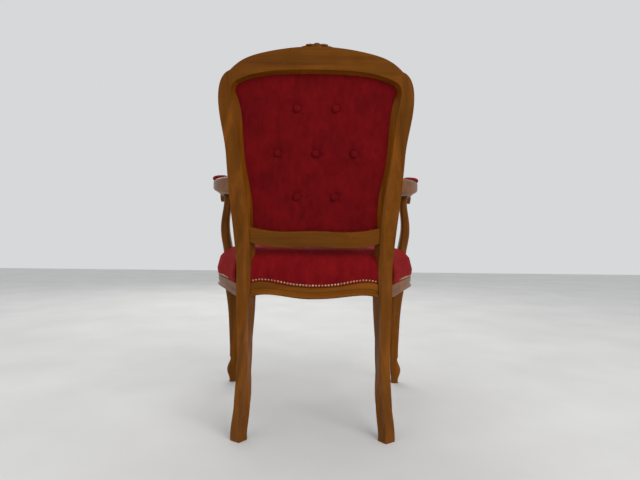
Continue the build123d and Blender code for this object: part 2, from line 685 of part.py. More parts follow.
rear_brace = corner_brace(REAR_BRACE, rear_rail.part, side_rail_left.part)
front_brace = corner_brace(FRONT_BRACE, front_rail.part, side_rail_left.part, front_leg_left.part)
mirrored(keep(rear_brace, "corner_brace_rear_left"), "corner_brace_rear_right")
mirrored(keep(front_brace, "corner_brace_front_left"), "corner_brace_front_right")

# Carving glued to the front of the crest, standing a little above it: a round flower between two leaves
CARVING_UP = CREST_TOP_UP - CARVING_HALF_WIDTH / 6
with BuildPart() as crest_carving:
    with BuildSketch(BACK_PLANE.offset(FRAME_THICKNESS / 2)):
        with Locations((0, CARVING_UP)):
            Circle(CARVING_RISE + CARVING_HALF_WIDTH / 6)
        with Locations((-CARVING_HALF_WIDTH / 2, CARVING_UP), (CARVING_HALF_WIDTH / 2, CARVING_UP)):
            Ellipse(CARVING_HALF_WIDTH / 2, CARVING_HALF_WIDTH / 4)
    extrude(amount=CARVING_PROUD)
keep(crest_carving.part, "crest_carving")

# Seat upholstery: outlines round the seat, spread outwards from its middle
SEAT_MIDDLE = Vector(0, (REAR_RAIL_Y + FRONT_RAIL_MIDDLE_Y) / 2)
SEAT_REACH = (REAR_RAIL_Y - FRONT_RAIL_MIDDLE_Y) / 2
CORNER_CUT = FRONT_BLOCK_SIDE * LEG_ROUNDING * 0.29
SEAT_CORNER = Vector(BLOCK_OUTER_X - CORNER_CUT, BLOCK_FRONT_Y + CORNER_CUT)
SEAT_PLAN = both_sides(
    [Vector(SIDE_POINTS[0].X + 2.0, REAR_RAIL_Y)]
    + SIDE_POINTS[1:]
    + [SEAT_CORNER]
    + FRONT_POINTS[: len(FRONT_SHAPE)]
)
WAVE_HIGH = max(line for share, bow, bottom, line in SIDE_SHAPE + FRONT_SHAPE + REAR_SHAPE)
WAVE_LOW = min(line for share, bow, bottom, line in SIDE_SHAPE + FRONT_SHAPE + REAR_SHAPE)
SKIRT_BOTTOM = NAIL_LINE + WAVE_HIGH + NAIL_RISE + NAIL_RADIUS + 2 * SOFT_CLEARANCE
HEM_BOTTOM = NAIL_LINE + WAVE_LOW - 1.0
PAD_UNDERSIDE = RAIL_TOP + HESSIAN_THICKNESS + SOFT_CLEARANCE
CROWN_RISE = SEAT_CROWN_HEIGHT - SEAT_SHOULDER_HEIGHT
LEG_GAP = 1.0


def seat_outline(height, spread):
    """Level outline of the seat, moved outwards by spread, or inwards if it is negative."""
    points = [SEAT_MIDDLE + (point - SEAT_MIDDLE) * (1 + spread / SEAT_REACH) for point in SEAT_PLAN]
    with BuildSketch(Plane.XY.offset(height)) as outline:
        with BuildLine():
            edge = Spline(*points)
            Line(edge @ 0, edge @ 1)
        make_face()
    return outline.sketch


with BuildPart() as leg_notches:
    notch_front = BACK_FOOT_Y - FRAME_THICKNESS / 2 - 4.0 - LEG_GAP
    notch_width = SEAT_OUTER_X - SEAT_INNER_X + LIP_WIDTH + 2 * LEG_GAP
    notch_x = (SEAT_OUTER_X + SEAT_INNER_X - LIP_WIDTH) / 2
    notch_rise = SEAT_CROWN_HEIGHT - RAIL_BOTTOM + 20.0
    with Locations((notch_x, notch_front, RAIL_BOTTOM), (-notch_x, notch_front, RAIL_BOTTOM)):
        Box(notch_width, SEAT_REACH, notch_rise, align=(Align.CENTER, Align.MIN, Align.MIN))
with BuildPart() as support_notches:
    notch_width = SUPPORT_BASE_WIDTH + 16.0
    notch_x = SUPPORT_BASE_X - 6.0
    with Locations((notch_x, SUPPORT_BASE_Y, RAIL_TOP), (-notch_x, SUPPORT_BASE_Y, RAIL_TOP)):
        Box(notch_width, SUPPORT_BASE_DEPTH + 6.0, notch_rise, align=(Align.CENTER, Align.CENTER, Align.MIN))

SEAT_PROFILE = [
    (SKIRT_BOTTOM, 0.0),
    (RAIL_TOP - 4.0, SEAT_BULGE * 0.6),
    ((RAIL_TOP + SEAT_SHOULDER_HEIGHT) / 2, SEAT_BULGE),
    (SEAT_SHOULDER_HEIGHT, -4.0),
    (SEAT_SHOULDER_HEIGHT + CROWN_RISE * 0.6, -40.0),
    (SEAT_SHOULDER_HEIGHT + CROWN_RISE * 0.88, -95.0),
    (SEAT_CROWN_HEIGHT, -150.0),
]
with BuildPart() as seat_pad:
    loft([seat_outline(height, spread) for height, spread in SEAT_PROFILE])
    extrude(
        seat_outline(SKIRT_BOTTOM - 1.0, 1.0 - COVER_REBATE),
        amount=PAD_UNDERSIDE - SKIRT_BOTTOM + 1.0,
        mode=Mode.SUBTRACT,
    )
    add(leg_notches.part, mode=Mode.SUBTRACT)
    add(support_notches.part, mode=Mode.SUBTRACT)
keep(seat_pad.part, "seat_pad")

# Hem: the folded edge of the seat cover, let into the rebate of the rails down to the nail line
HEM_HEIGHT = SKIRT_BOTTOM - SOFT_CLEARANCE - HEM_BOTTOM
HEM_CARRIERS = [
    "rear_seat_rail", "side_seat_rail_left", "side_seat_rail_right", "front_seat_rail",
    "front_leg_left", "front_leg_right",
]
with BuildPart() as seat_hem:
    extrude(seat_outline(HEM_BOTTOM, 0.0), amount=HEM_HEIGHT)
    extrude(seat_outline(HEM_BOTTOM, SOFT_CLEARANCE - COVER_REBATE), amount=HEM_HEIGHT, mode=Mode.SUBTRACT)
    hem_notch_x = (SEAT_OUTER_X + SEAT_INNER_X) / 2
    with Locations((hem_notch_x, notch_front, RAIL_BOTTOM), (-hem_notch_x, notch_front, RAIL_BOTTOM)):
        Box(
            SEAT_OUTER_X - SEAT_INNER_X + 2 * LEG_GAP, SEAT_REACH, notch_rise,
            align=(Align.CENTER, Align.MIN, Align.MIN), mode=Mode.SUBTRACT,
        )
    for name in HEM_CARRIERS:
        add(PIECES[name].moved(Location((0, 0, SOFT_CLEARANCE))), mode=Mode.SUBTRACT)
keep(Compound(seat_hem.part.solids().sort_by(SortBy.VOLUME)[-2:]), "seat_hem")

with BuildPart() as seat_hessian:
    extrude(seat_outline(RAIL_TOP, -COVER_REBATE - 6.0), amount=HESSIAN_THICKNESS)
    add(leg_notches.part, mode=Mode.SUBTRACT)
    add(support_notches.part, mode=Mode.SUBTRACT)
keep(seat_hessian.part, "seat_hessian")

with BuildPart() as seat_dust_cover:
    extrude(seat_outline(DUST_COVER_HEIGHT, -RAIL_THICKNESS - 4.0), amount=DUST_COVER_THICKNESS)
    add(leg_notches.part, mode=Mode.SUBTRACT)
    with Locations(*[(x, FRONT_LEG_Y, DUST_COVER_HEIGHT) for x in (FRONT_LEG_X, -FRONT_LEG_X)]):
        Box(FRONT_BLOCK_SIDE + 4.0, FRONT_BLOCK_SIDE + 4.0, 20.0, mode=Mode.SUBTRACT)
keep(seat_dust_cover.part, "seat_dust_cover")

# Springs: bent wires from the front rail to the rear rail, held at both ends by clips
SPRING_HEIGHT = RAIL_TOP - SPRING_WIRE / 2 - 1.5
SPRING_REAR_Y = REAR_RAIL_Y - RAIL_THICKNESS


def front_inner_y(x):
    """Where a clip sits on the inner face of the front rail, at a distance from the middle of the chair."""
    reach = []
    for side in (x - CLIP_WIDTH / 2, x, x + CLIP_WIDTH / 2):
        ray = Axis((side, SEAT_MIDDLE.Y, SPRING_HEIGHT), (0, -1, 0))
        hits = front_rail.part.find_intersection_points(ray)
        reach.append(max(point.Y for point, normal in hits))
    return max(reach) + SOFT_CLEARANCE


springs = []
clip_places = []
for row in range(SPRING_ROWS):
    x = (row - (SPRING_ROWS - 1) / 2) * SPRING_PITCH
    front_y = front_inner_y(x)
    rear_y = SPRING_REAR_Y - SOFT_CLEARANCE
    step = 2 * SPRING_LOOP_RADIUS
    bends = int((rear_y - front_y) / step) - 2
    y = (front_y + rear_y - (bends - 1) * step) / 2
    path_points = [(x, front_y), (x, y)]
    for bend in range(bends):
        side = SPRING_HALF_WIDTH if bend % 2 == 0 else -SPRING_HALF_WIDTH
        if bend < bends - 1:
            path_points.extend([(x + side, y), (x + side, y + step)])
            y += step
    path_points.extend([(x, y), (x, rear_y)])
    with BuildPart() as spring:
        with BuildLine(Plane.XY.offset(SPRING_HEIGHT)) as wire:
            FilletPolyline(*path_points, radius=SPRING_LOOP_RADIUS * 0.98)
        with BuildSketch(Plane(origin=wire.line @ 0, z_dir=wire.line % 0)):
            Circle(SPRING_WIRE / 2)
        sweep()
    springs.append(spring.part.solid())
    clip_places.append((x, front_y + CLIP_DEPTH / 2, SPRING_HEIGHT))
    clip_places.append((x, rear_y - CLIP_DEPTH / 2, SPRING_HEIGHT))
keep(Compound(springs), "seat_springs")
with BuildPart() as spring_clips:
    with Locations(*clip_places):
        Box(CLIP_WIDTH, CLIP_DEPTH, SPRING_WIRE + 2.4)
        Cylinder(SPRING_WIRE / 2 + SOFT_CLEARANCE, CLIP_DEPTH + 2.0, rotation=(90, 0, 0), mode=Mode.SUBTRACT)
keep(spring_clips.part, "seat_spring_clips")

# Back upholstery: outlines in the opening of the back frame, spread from its middle
OPENING_BOTTOM = LOWER_RAIL_MIDDLE_UP + LOWER_RAIL_HEIGHT / 2
OPENING_TOP = CREST_UNDERSIDE_UP - CREST_LIP_WIDTH
OPENING_CORNER = (WAIST_INNER_X - LIP_WIDTH, OPENING_BOTTOM + LOWER_RAIL_RISE * 0.66)
OPENING_MIDDLE_UP = (OPENING_BOTTOM + OPENING_TOP) / 2
OPENING_REACH = (OPENING_TOP - OPENING_BOTTOM) / 2


def round_shoulder(angle, radius):
    """A point of the opening round the upper corner of the back."""
    turn = math.radians(angle)
    return (SHOULDER_CENTRE_X + radius * math.cos(turn), SHOULDER_UP + radius * math.sin(turn))


OPENING_BASE = [
    (0.0, OPENING_BOTTOM),
    (LOWER_RAIL_WAVE_X * 1.1, OPENING_BOTTOM - LOWER_RAIL_DROP / 2),
    OPENING_CORNER,
]
OPENING_SIDE = [
    OPENING_CORNER,
    (ARM_INNER_X - LIP_WIDTH, ARM_UP),
    (CHEST_INNER_X - LIP_WIDTH, CHEST_UP),
    round_shoulder(0, SHOULDER_INNER_RADIUS - LIP_WIDTH),
    round_shoulder(CREST_JOINT_ANGLE, CREST_JOINT_INNER - CREST_LIP_WIDTH),
] + [(x, OPENING_TOP - under) for x, under, over in CREST_STATIONS] + [(0.0, OPENING_TOP)]


def back_outline(front, spread):
    """Outline of the back upholstery in front of the middle of the frame."""
    grow = 1 + spread / OPENING_REACH
    base = [(x * grow, OPENING_MIDDLE_UP + (up - OPENING_MIDDLE_UP) * grow) for x, up in OPENING_BASE]
    side = [(x * grow, OPENING_MIDDLE_UP + (up - OPENING_MIDDLE_UP) * grow) for x, up in OPENING_SIDE]
    with BuildSketch(BACK_PLANE.offset(front)) as outline:
        with BuildLine():
            Spline(*[(-x, up) for x, up in reversed(base[1:])], *base)
            Spline(*side, *[(-x, up) for x, up in reversed(side[:-1])])
        make_face()
    return outline.sketch


FRAME_FRONT = FRAME_THICKNESS / 2
REAR_COVER_FACE = -FRAME_THICKNESS / 2 + LIP_BEVEL_DEPTH
REAR_COVER_FRONT = REAR_COVER_FACE + REAR_COVER_THICKNESS
WEB_REAR = REAR_COVER_FRONT + SOFT_CLEARANCE
PAD_REAR = WEB_REAR + 2 * WEB_THICKNESS + 2 * SOFT_CLEARANCE
PAD_FRONT = FRAME_FRONT + BACK_PAD_PROUD
BUTTONS = [(BUTTON_SPACING_X * column, BUTTON_MIDDLE_UP) for column in (-1, 0, 1)] + [
    (BUTTON_SPACING_X * column, BUTTON_MIDDLE_UP + BUTTON_SPACING_UP * row)
    for column in (-0.5, 0.5)
    for row in (-1, 1)
]


def tuft(x, up, face, outwards, radius, depth):
    """Middle and radius of the ball that presses one tuft into a face."""
    ball = (radius * radius + depth * depth) / (2 * depth)
    return on_back(x, up, face + outwards * (ball - depth)), ball


def tufted(part, face, outwards, radius, depth):
    """A pad with its row of tufts and the twine holes through them."""
    with BuildPart() as pad:
        add(part)
        for x, up in BUTTONS:
            middle, ball = tuft(x, up, face, outwards, radius, depth)
            with Locations(middle):
                Sphere(ball, mode=Mode.SUBTRACT)
        holes = [Plane(origin=on_back(x, up), z_dir=BACK_PLANE.z_dir).location for x, up in BUTTONS]
        with Locations(*holes):
            Cylinder(TWINE_RADIUS + SOFT_CLEARANCE, 4 * PAD_FRONT, mode=Mode.SUBTRACT)
    return pad.part


BORDER_FRONT = FRAME_FRONT + 2.5
BACK_PROFILE = [
    (BORDER_FRONT, -NAIL_BORDER),
    (FRAME_FRONT + BACK_PAD_PROUD * 0.5, -NAIL_BORDER - 12.0),
    (FRAME_FRONT + BACK_PAD_PROUD * 0.82, -NAIL_BORDER - 45.0),
    (PAD_FRONT, -NAIL_BORDER - 105.0),
]
with BuildPart() as back_cushion:
    extrude(back_outline(PAD_REAR, -SOFT_CLEARANCE), amount=BORDER_FRONT - PAD_REAR)
    loft([back_outline(front, spread) for front, spread in BACK_PROFILE])
keep(tufted(back_cushion.part, PAD_FRONT, 1, FRONT_TUFT_RADIUS, FRONT_TUFT_DEPTH), "back_front_pad")

REAR_CROWN_PROFILE = [
    (REAR_COVER_FACE - REAR_COVER_CROWN, -110.0),
    (REAR_COVER_FACE - REAR_COVER_CROWN * 0.85, -55.0),
    (REAR_COVER_FACE - REAR_COVER_CROWN * 0.5, -18.0),
    (REAR_COVER_FACE, -3.0),
]
with BuildPart() as rear_lining:
    extrude(back_outline(REAR_COVER_FACE, -SOFT_CLEARANCE), amount=REAR_COVER_THICKNESS)
    loft([back_outline(front, spread) for front, spread in REAR_CROWN_PROFILE])
rear_crown = REAR_COVER_FACE - REAR_COVER_CROWN
keep(tufted(rear_lining.part, rear_crown, -1, REAR_TUFT_RADIUS, REAR_TUFT_DEPTH), "back_rear_cover")


def opening_half_width(up):
    """Half width of the opening of the back frame at a height up the back."""
    for (low_x, low), (high_x, high) in zip(OPENING_SIDE, OPENING_SIDE[1:]):
        if low <= up <= high:
            return low_x + (high_x - low_x) * (up - low) / (high - low)
    return OPENING_CORNER[0]


with BuildPart() as back_webbing:
    for row in (-0.5, 0.5):
        up = BUTTON_MIDDLE_UP + BUTTON_SPACING_UP * row
        half = opening_half_width(up - WEB_WIDTH / 2) - 1.5
        with BuildSketch(BACK_PLANE.offset(WEB_REAR)):
            with Locations((0, up)):
                Rectangle(2 * half, WEB_WIDTH)
        extrude(amount=WEB_THICKNESS)
    for column in (-0.75, 0.75):
        with BuildSketch(BACK_PLANE.offset(WEB_REAR + WEB_THICKNESS + SOFT_CLEARANCE)):
            with Locations((BUTTON_SPACING_X * column, OPENING_MIDDLE_UP)):
                Rectangle(WEB_WIDTH, 2 * OPENING_REACH - 12.0)
        extrude(amount=WEB_THICKNESS)
keep(back_webbing.part, "back_webbing")


def dome(radius, height):
    """A cap of a ball standing on its flat side, like a button or a nail head."""
    with BuildPart() as cap:
        with BuildSketch(Plane.XZ):
            with BuildLine():
                ball = (radius * radius + height * height) / (2 * height)
                slope = math.asin(radius / ball) / 2
                ThreePointArc(
                    (radius, 0), (ball * math.sin(slope), height - ball * (1 - math.cos(slope))), (0, height)
                )
                Polyline((0, height), (0, 0), (radius, 0))
            make_face()
        revolve(axis=Axis.Z)
    return cap.part.solid()


def copies(solid, planes):
    """Copies of one solid, each standing on a plane."""
    return Compound([solid.moved(plane.location) for plane in planes])


def rim_rise(radius, depth):
    """How far a tuft rises under the rim of a button."""
    ball = (radius * radius + depth * depth) / (2 * depth)
    return ball - math.sqrt(ball * ball - BUTTON_RADIUS * BUTTON_RADIUS) + SOFT_CLEARANCE


BUTTON_FRONT_SEAT = PAD_FRONT - FRONT_TUFT_DEPTH + rim_rise(FRONT_TUFT_RADIUS, FRONT_TUFT_DEPTH)
BUTTON_REAR_SEAT = rear_crown + REAR_TUFT_DEPTH - rim_rise(REAR_TUFT_RADIUS, REAR_TUFT_DEPTH)
button = dome(BUTTON_RADIUS, BUTTON_HEIGHT)
FORWARD = BACK_PLANE.z_dir
front_places = [Plane(origin=on_back(x, up, BUTTON_FRONT_SEAT), z_dir=FORWARD) for x, up in BUTTONS]
rear_places = [Plane(origin=on_back(x, up, BUTTON_REAR_SEAT), z_dir=FORWARD * -1) for x, up in BUTTONS]
keep(copies(button, front_places), "back_buttons_front")
keep(copies(button, rear_places), "back_buttons_rear")
with BuildPart() as twine:
    Cylinder(TWINE_RADIUS, BUTTON_FRONT_SEAT - BUTTON_REAR_SEAT - 2 * SOFT_CLEARANCE)
twine_middle = (BUTTON_FRONT_SEAT + BUTTON_REAR_SEAT) / 2
twine_places = [Plane(origin=on_back(x, up, twine_middle), z_dir=BACK_PLANE.z_dir) for x, up in BUTTONS]
keep(copies(twine.part.solid(), twine_places), "back_tuft_twines")

# Nails: domed heads along the lower edge of the seat cover and round the front of the back
nail = dome(NAIL_RADIUS, NAIL_DOME)


def spaced(path, first, last):
    """Shares of a path at the pitch of the nails, from one distance to another short of its end."""
    room = path.length - first - last
    count = round(room / NAIL_PITCH)
    return [(first + room * index / count) / path.length for index in range(count + 1)]


def rail_nails(path, first, last):
    """Places of nails along a path, each set on the outer face of the hem."""
    places = []
    for share in spaced(path, first, last):
        step = path.tangent_at(share)
        outward = Vector(-step.Y, step.X, 0).normalized()
        wanted = path.position_at(share)
        plan = Vertex(wanted.X, wanted.Y, 0)
        nearest = [edge.distance_to_with_closest_points(plan) for edge in hem_plan]
        found = min(nearest, key=lambda near: near[0])
        seated = Vector(found[1].X, found[1].Y, wanted.Z) + outward * SOFT_CLEARANCE
        places.append(Plane(origin=seated, z_dir=outward))
    return places


corner_line = (SIDE_SHAPE[-1][3] + FRONT_SHAPE[0][3]) / 2


def nail_line(points, shape):
    """Points of the row of nails along a rail."""
    return [(point.X, point.Y, NAIL_LINE + NAIL_RISE + entry[3]) for point, entry in zip(points, shape)]


side_line = nail_line(SIDE_POINTS, SIDE_SHAPE)
side_line.append((SEAT_CORNER.X, SEAT_CORNER.Y, NAIL_LINE + NAIL_RISE + corner_line))
front_line = nail_line(FRONT_POINTS, FRONT_PROFILE)
rear_line = nail_line(REAR_POINTS, REAR_PROFILE)
with BuildLine() as round_path:
    Spline(*side_line, *front_line, *[(-x, y, z) for x, y, z in reversed(side_line)])
with BuildLine() as rear_path:
    Spline(*rear_line)
leg_end = REAR_HALF_WIDTH - SEAT_INNER_X + 2 * NAIL_RADIUS
hem_plan = seat_outline(0.0, 0.0).edges()
seat_nail_places = rail_nails(round_path.edge(), 20.0, 20.0) + rail_nails(rear_path.edge(), leg_end, leg_end)
keep(copies(nail, seat_nail_places), "seat_nails")

border = back_outline(BORDER_FRONT + SOFT_CLEARANCE, -NAIL_BORDER * 0.55)
back_nail_places = []
for edge in border.edges():
    for share in spaced(edge, NAIL_PITCH / 2, NAIL_PITCH / 2):
        back_nail_places.append(Plane(origin=edge.position_at(share), z_dir=BACK_PLANE.z_dir))
keep(copies(nail, back_nail_places), "back_pad_nails")

# Arm pads: domed pads on the middle of the arms
PAD_SHARES = [(0.0, 0.5), (0.12, 0.86), (0.35, 1.0), (0.65, 1.0), (0.88, 0.9), (1.0, 0.55)]


def arm_top(y):
    """Middle of the arm's top face at a place along it."""
    for (rear, wide, rear_high), (front, narrow, front_high) in zip(ARM_STATIONS, ARM_STATIONS[1:]):
        if front[1] <= y <= rear[1]:
            share = (rear[1] - y) / (rear[1] - front[1])
            top = rear[2] + rear_high / 2 + (front[2] + front_high / 2 - rear[2] - rear_high / 2) * share
            return (rear[0] + (front[0] - rear[0]) * share, y, top)
    return ARM_STATIONS[-1][0]


pad_sections = []
for share, fullness in PAD_SHARES:
    x, y, top = arm_top(ARM_PAD_REAR_Y + (ARM_PAD_FRONT_Y - ARM_PAD_REAR_Y) * share)
    half = ARM_PAD_WIDTH / 2 * fullness
    upright = Plane(origin=(x, y, top + ARM_PAD_GAP), x_dir=(1, 0, 0), z_dir=(0, -1, 0))
    with BuildSketch(upright) as dome_section:
        with BuildLine():
            Line((-half * 0.8, 0), (half * 0.8, 0))
            Spline(
                (half * 0.8, 0), (half, ARM_PAD_CROWN * fullness * 0.45), (0, ARM_PAD_CROWN * fullness),
                (-half, ARM_PAD_CROWN * fullness * 0.45), (-half * 0.8, 0),
            )
        make_face()
    pad_sections.append(dome_section.sketch)
with BuildPart() as arm_pad:
    loft(pad_sections)
mirrored(keep(arm_pad.part, "arm_pad_left"), "arm_pad_right")

os.makedirs("parts", exist_ok=True)
for name, part in PIECES.items():
    export_step(part, f"parts/{name}.step")
    print(name, round(part.volume), part.is_valid, len(part.solids()))
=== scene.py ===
import math
from itertools import combinations

import bmesh
import bpy
import numpy as np
from mathutils import Matrix, Vector
from mathutils.bvhtree import BVHTree


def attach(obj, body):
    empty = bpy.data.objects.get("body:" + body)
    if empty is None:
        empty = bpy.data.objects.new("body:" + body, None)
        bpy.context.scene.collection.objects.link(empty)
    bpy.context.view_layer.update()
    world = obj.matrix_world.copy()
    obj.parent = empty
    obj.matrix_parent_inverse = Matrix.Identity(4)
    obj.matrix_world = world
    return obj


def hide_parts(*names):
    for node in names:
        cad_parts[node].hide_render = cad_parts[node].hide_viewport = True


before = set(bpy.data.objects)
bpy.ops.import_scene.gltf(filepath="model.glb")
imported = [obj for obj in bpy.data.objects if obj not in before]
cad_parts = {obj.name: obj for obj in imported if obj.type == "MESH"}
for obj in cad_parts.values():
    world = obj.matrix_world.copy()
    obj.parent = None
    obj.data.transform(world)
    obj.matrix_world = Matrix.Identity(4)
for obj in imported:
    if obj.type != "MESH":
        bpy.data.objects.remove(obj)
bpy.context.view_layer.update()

bl_info = {
    "name": "Velvet Armchair",
    "version": (1, 0, 0),
    "blender": (4, 5, 0),
    "location": "3D View > Sidebar > Armchair",
    "description": "Dresses an open armchair: waxed frame, buttoned velvet, brass nails",
    "category": "Object",
}

# Sizes are in millimetres unless a comment gives another unit
MM = 0.001
FULL_TURN = 2 * math.pi
QUARTER_TURN = math.pi / 2

# The sitter's right and left, as signs of X
SIDES = (-1, 1)

# The raked plane of the back, and how far its frame stands in front of that plane
BACK_FOOT = np.array((0.0, 188.0, 440.0))
RAKE = math.radians(10.8)
BACK_UP = np.array((0.0, math.sin(RAKE), math.cos(RAKE)))
BACK_FRONT = np.array((0.0, -math.cos(RAKE), math.sin(RAKE)))
FRAME_FRONT = 15.5

# The opening of the back: its middle across and up the plane, and how far in front its edge is found
OPENING_MIDDLE = np.array((0.0, 284.0))
EDGE_DEPTH = 3.0
# The edge lies between these distances from the middle
NEAREST_EDGE = 100.0
FARTHEST_EDGE = 300.0

# Rings of velvet from the edge of the opening nearly to its middle, and the rough half size of the opening
BACK_COUNT = 480
BACK_RINGS = 84
BACK_CLOSING = 0.985
BACK_HALF_SIZE = 190.0

# Buttons of the back: three in the middle row, two above and two below; folds run between the rows
BUTTON_SPACING = 97.0
BUTTON_ROW_SPACING = 111.0
BUTTON_MIDDLE = 287.0
BUTTONS = [(BUTTON_SPACING * column, BUTTON_MIDDLE) for column in (-1, 0, 1)]
BUTTONS += [
    (BUTTON_SPACING * column, BUTTON_MIDDLE + BUTTON_ROW_SPACING * row)
    for column in (-0.5, 0.5)
    for row in (-1, 1)
]
LONGEST_FOLD = 130.0

# Plan of the seat on the sitter's left: outer face of the rails, and the nail line's height there
SEAT_PLAN = [
    (0.0, 200.0, 377.0), (62.0, 200.0, 381.0), (100.0, 200.0, 387.5), (136.0, 200.0, 393.0),
    (160.0, 200.0, 390.0), (185.0, 200.0, 387.0), (203.0, 199.0, 387.0), (214.0, 186.0, 387.0),
    (230.0, 143.0, 389.0), (248.1, 94.9, 390.0), (270.0, 40.0, 390.8), (286.1, -0.3, 391.0),
    (300.0, -45.0, 390.2), (310.4, -91.4, 389.0), (316.5, -157.6, 386.0), (316.4, -195.0, 385.2),
    (315.6, -228.0, 385.0), (312.5, -261.5, 385.0), (295.0, -265.5, 385.0), (276.0, -266.1, 385.0),
    (238.0, -267.0, 388.5), (200.1, -270.0, 391.0), (150.0, -277.5, 390.2), (99.4, -287.1, 388.0),
    (50.0, -296.5, 384.0), (0.0, -300.6, 381.0),
]
SEAT_MIDDLE = np.array((0.0, -50.3))

# Turns between faces beyond which an edge shows as sharp
WOOD_EDGE = math.radians(32)
VELVET_EDGE = math.radians(50)

# The swelling of padded velvet, as cloth held at its edges
SWELL_FRAMES = 20
SWELL_PRESSURE = 4.0
VELVET_STIFFNESS = 12.0
VELVET_BENDING = 2.0


def turns_of(count):
    """Even steps of a full turn."""
    return np.linspace(0, FULL_TURN, count, endpoint=False)


def resampled(curve, count):
    """An open line of points as even steps."""
    lengths = np.linalg.norm(np.diff(curve, axis=0), axis=1)
    along = np.concatenate([[0], np.cumsum(lengths)])
    wanted = np.linspace(0, along[-1], count)
    return np.stack([np.interp(wanted, along, curve[:, axis]) for axis in range(curve.shape[1])], 1)


def even_loop(curve, count):
    """A closed line of points as even steps."""
    return resampled(np.vstack([curve, curve[:1]]), count + 1)[:-1]


def smooth_loop(points, count):
    """A closed line of points as even steps along a rounded curve through them."""
    points = np.asarray(points, float)
    before = np.roll(points, 1, 0)
    after = np.roll(points, -1, 0)
    later = np.roll(points, -2, 0)
    steps = np.linspace(0, 1, 12, endpoint=False)[:, None, None]
    curve = 0.5 * (
        2 * points
        + (after - before) * steps
        + (2 * before - 5 * points + 4 * after - later) * steps**2
        + (3 * points - before - 3 * after + later) * steps**3
    )
    return even_loop(curve.transpose(1, 0, 2).reshape(-1, points.shape[1]), count)


def mirrored_loop(half):
    """A closed line from its half on the sitter's left, both ends on the middle plane."""
    other = [(-point[0], *point[1:]) for point in reversed(half[1:-1])]
    return list(half) + other


def on_back(x, up, front):
    """Points given across, up and in front of the raked plane of the back."""
    x, up, front = np.broadcast_arrays(x, up, front)
    across = np.stack([x, np.zeros_like(x), np.zeros_like(x)], -1)
    return BACK_FOOT + across + up[..., None] * BACK_UP + front[..., None] * BACK_FRONT


def rise(low, high, value):
    """A smooth step from 0 at low to 1 at high."""
    share = np.clip((value - low) / (high - low), 0, 1)
    return share * share * (3 - 2 * share)


def bell(distance, width):
    """1 at no distance, falling to about a third at the width and then to nothing."""
    return np.exp(-((distance / width) ** 2))


def ripple(points, scale, seed):
    """Soft unevenness of a surface, the same on every run, between about -1 and 1."""
    waves = 7
    usual_peak = 3.2
    draw = np.random.default_rng(seed)
    total = np.zeros(len(points))
    for _ in range(waves):
        direction = draw.normal(size=points.shape[1])
        direction /= np.linalg.norm(direction)
        phase = draw.uniform(0, FULL_TURN)
        length = scale * draw.uniform(0.6, 1.7)
        total += np.sin(points @ direction * FULL_TURN / length + phase)
    return total / usual_peak


def placed(name, mesh):
    """A smooth shaded object in the scene."""
    mesh.polygons.foreach_set("use_smooth", [True] * len(mesh.polygons))
    piece = bpy.data.objects.new(name, mesh)
    bpy.context.scene.collection.objects.link(piece)
    return piece


def rings_piece(name, rings):
    """An object in metres from rings of points in millimetres, its two ends closed by fans."""
    count = len(rings[0])
    points = np.vstack(rings + [rings[0].mean(0), rings[-1].mean(0)])
    first_middle = len(rings) * count
    last_ring = first_middle - count
    faces = []
    for low in range(0, last_ring, count):
        for step in range(count):
            following = (step + 1) % count
            faces.append((low + step, low + following, low + count + following, low + count + step))
    faces += [((step + 1) % count, step, first_middle) for step in range(count)]
    faces += [(last_ring + step, last_ring + (step + 1) % count, first_middle + 1) for step in range(count)]
    mesh = bpy.data.meshes.new(name)
    mesh.from_pydata((points * MM).tolist(), [], faces)
    work = bmesh.new()
    work.from_mesh(mesh)
    bmesh.ops.recalc_face_normals(work, faces=work.faces)
    work.to_mesh(mesh)
    work.free()
    return placed(name, mesh)


def joined(name, pieces):
    """Several objects as one."""
    work = bmesh.new()
    for piece in pieces:
        work.from_mesh(piece.data)
    mesh = bpy.data.meshes.new(name)
    work.to_mesh(mesh)
    work.free()
    for piece in pieces:
        bpy.data.objects.remove(piece)
    return placed(name, mesh)


def finished(piece, finish, slot, *nodes):
    """Gives a new piece its material and its place on the chair, and hides the CAD nodes it stands in for.
    """
    piece.data.materials.clear()
    piece.data.materials.append(finish)
    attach(piece, "root")
    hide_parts(*nodes)


def places_of(mesh):
    """Where the points of a mesh are, in metres."""
    places = np.empty(3 * len(mesh.vertices))
    mesh.vertices.foreach_get("co", places)
    return places.reshape(-1, 3)


def plumped(piece, held, cap):
    """Lets a pad swell as cloth from inside, held at the given points, and keeps the shape it takes."""
    scene = bpy.context.scene
    held_points = [int(number) for number in np.flatnonzero(held)]
    piece.vertex_groups.new(name="held").add(held_points, 1.0, "REPLACE")
    swell = piece.modifiers.new("swell", "CLOTH")
    swell.settings.quality = 4
    swell.settings.tension_stiffness = VELVET_STIFFNESS
    swell.settings.compression_stiffness = VELVET_STIFFNESS
    swell.settings.bending_stiffness = VELVET_BENDING
    swell.settings.use_pressure = True
    swell.settings.uniform_pressure_force = SWELL_PRESSURE
    swell.settings.vertex_group_mass = "held"
    swell.settings.effector_weights.gravity = 0.0
    swell.point_cache.frame_end = SWELL_FRAMES
    for number in range(1, SWELL_FRAMES + 1):
        scene.frame_set(number)
    swollen = piece.evaluated_get(bpy.context.evaluated_depsgraph_get()).data
    before = places_of(piece.data)
    step = places_of(swollen) - before
    length = np.linalg.norm(step, axis=1)[:, None] + 1e-9
    longest = cap * MM
    step *= longest * np.tanh(length / longest) / length
    piece.modifiers.clear()
    piece.vertex_groups.clear()
    piece.data.vertices.foreach_set("co", (before + step).ravel())
    piece.data.update()
    scene.frame_set(1)


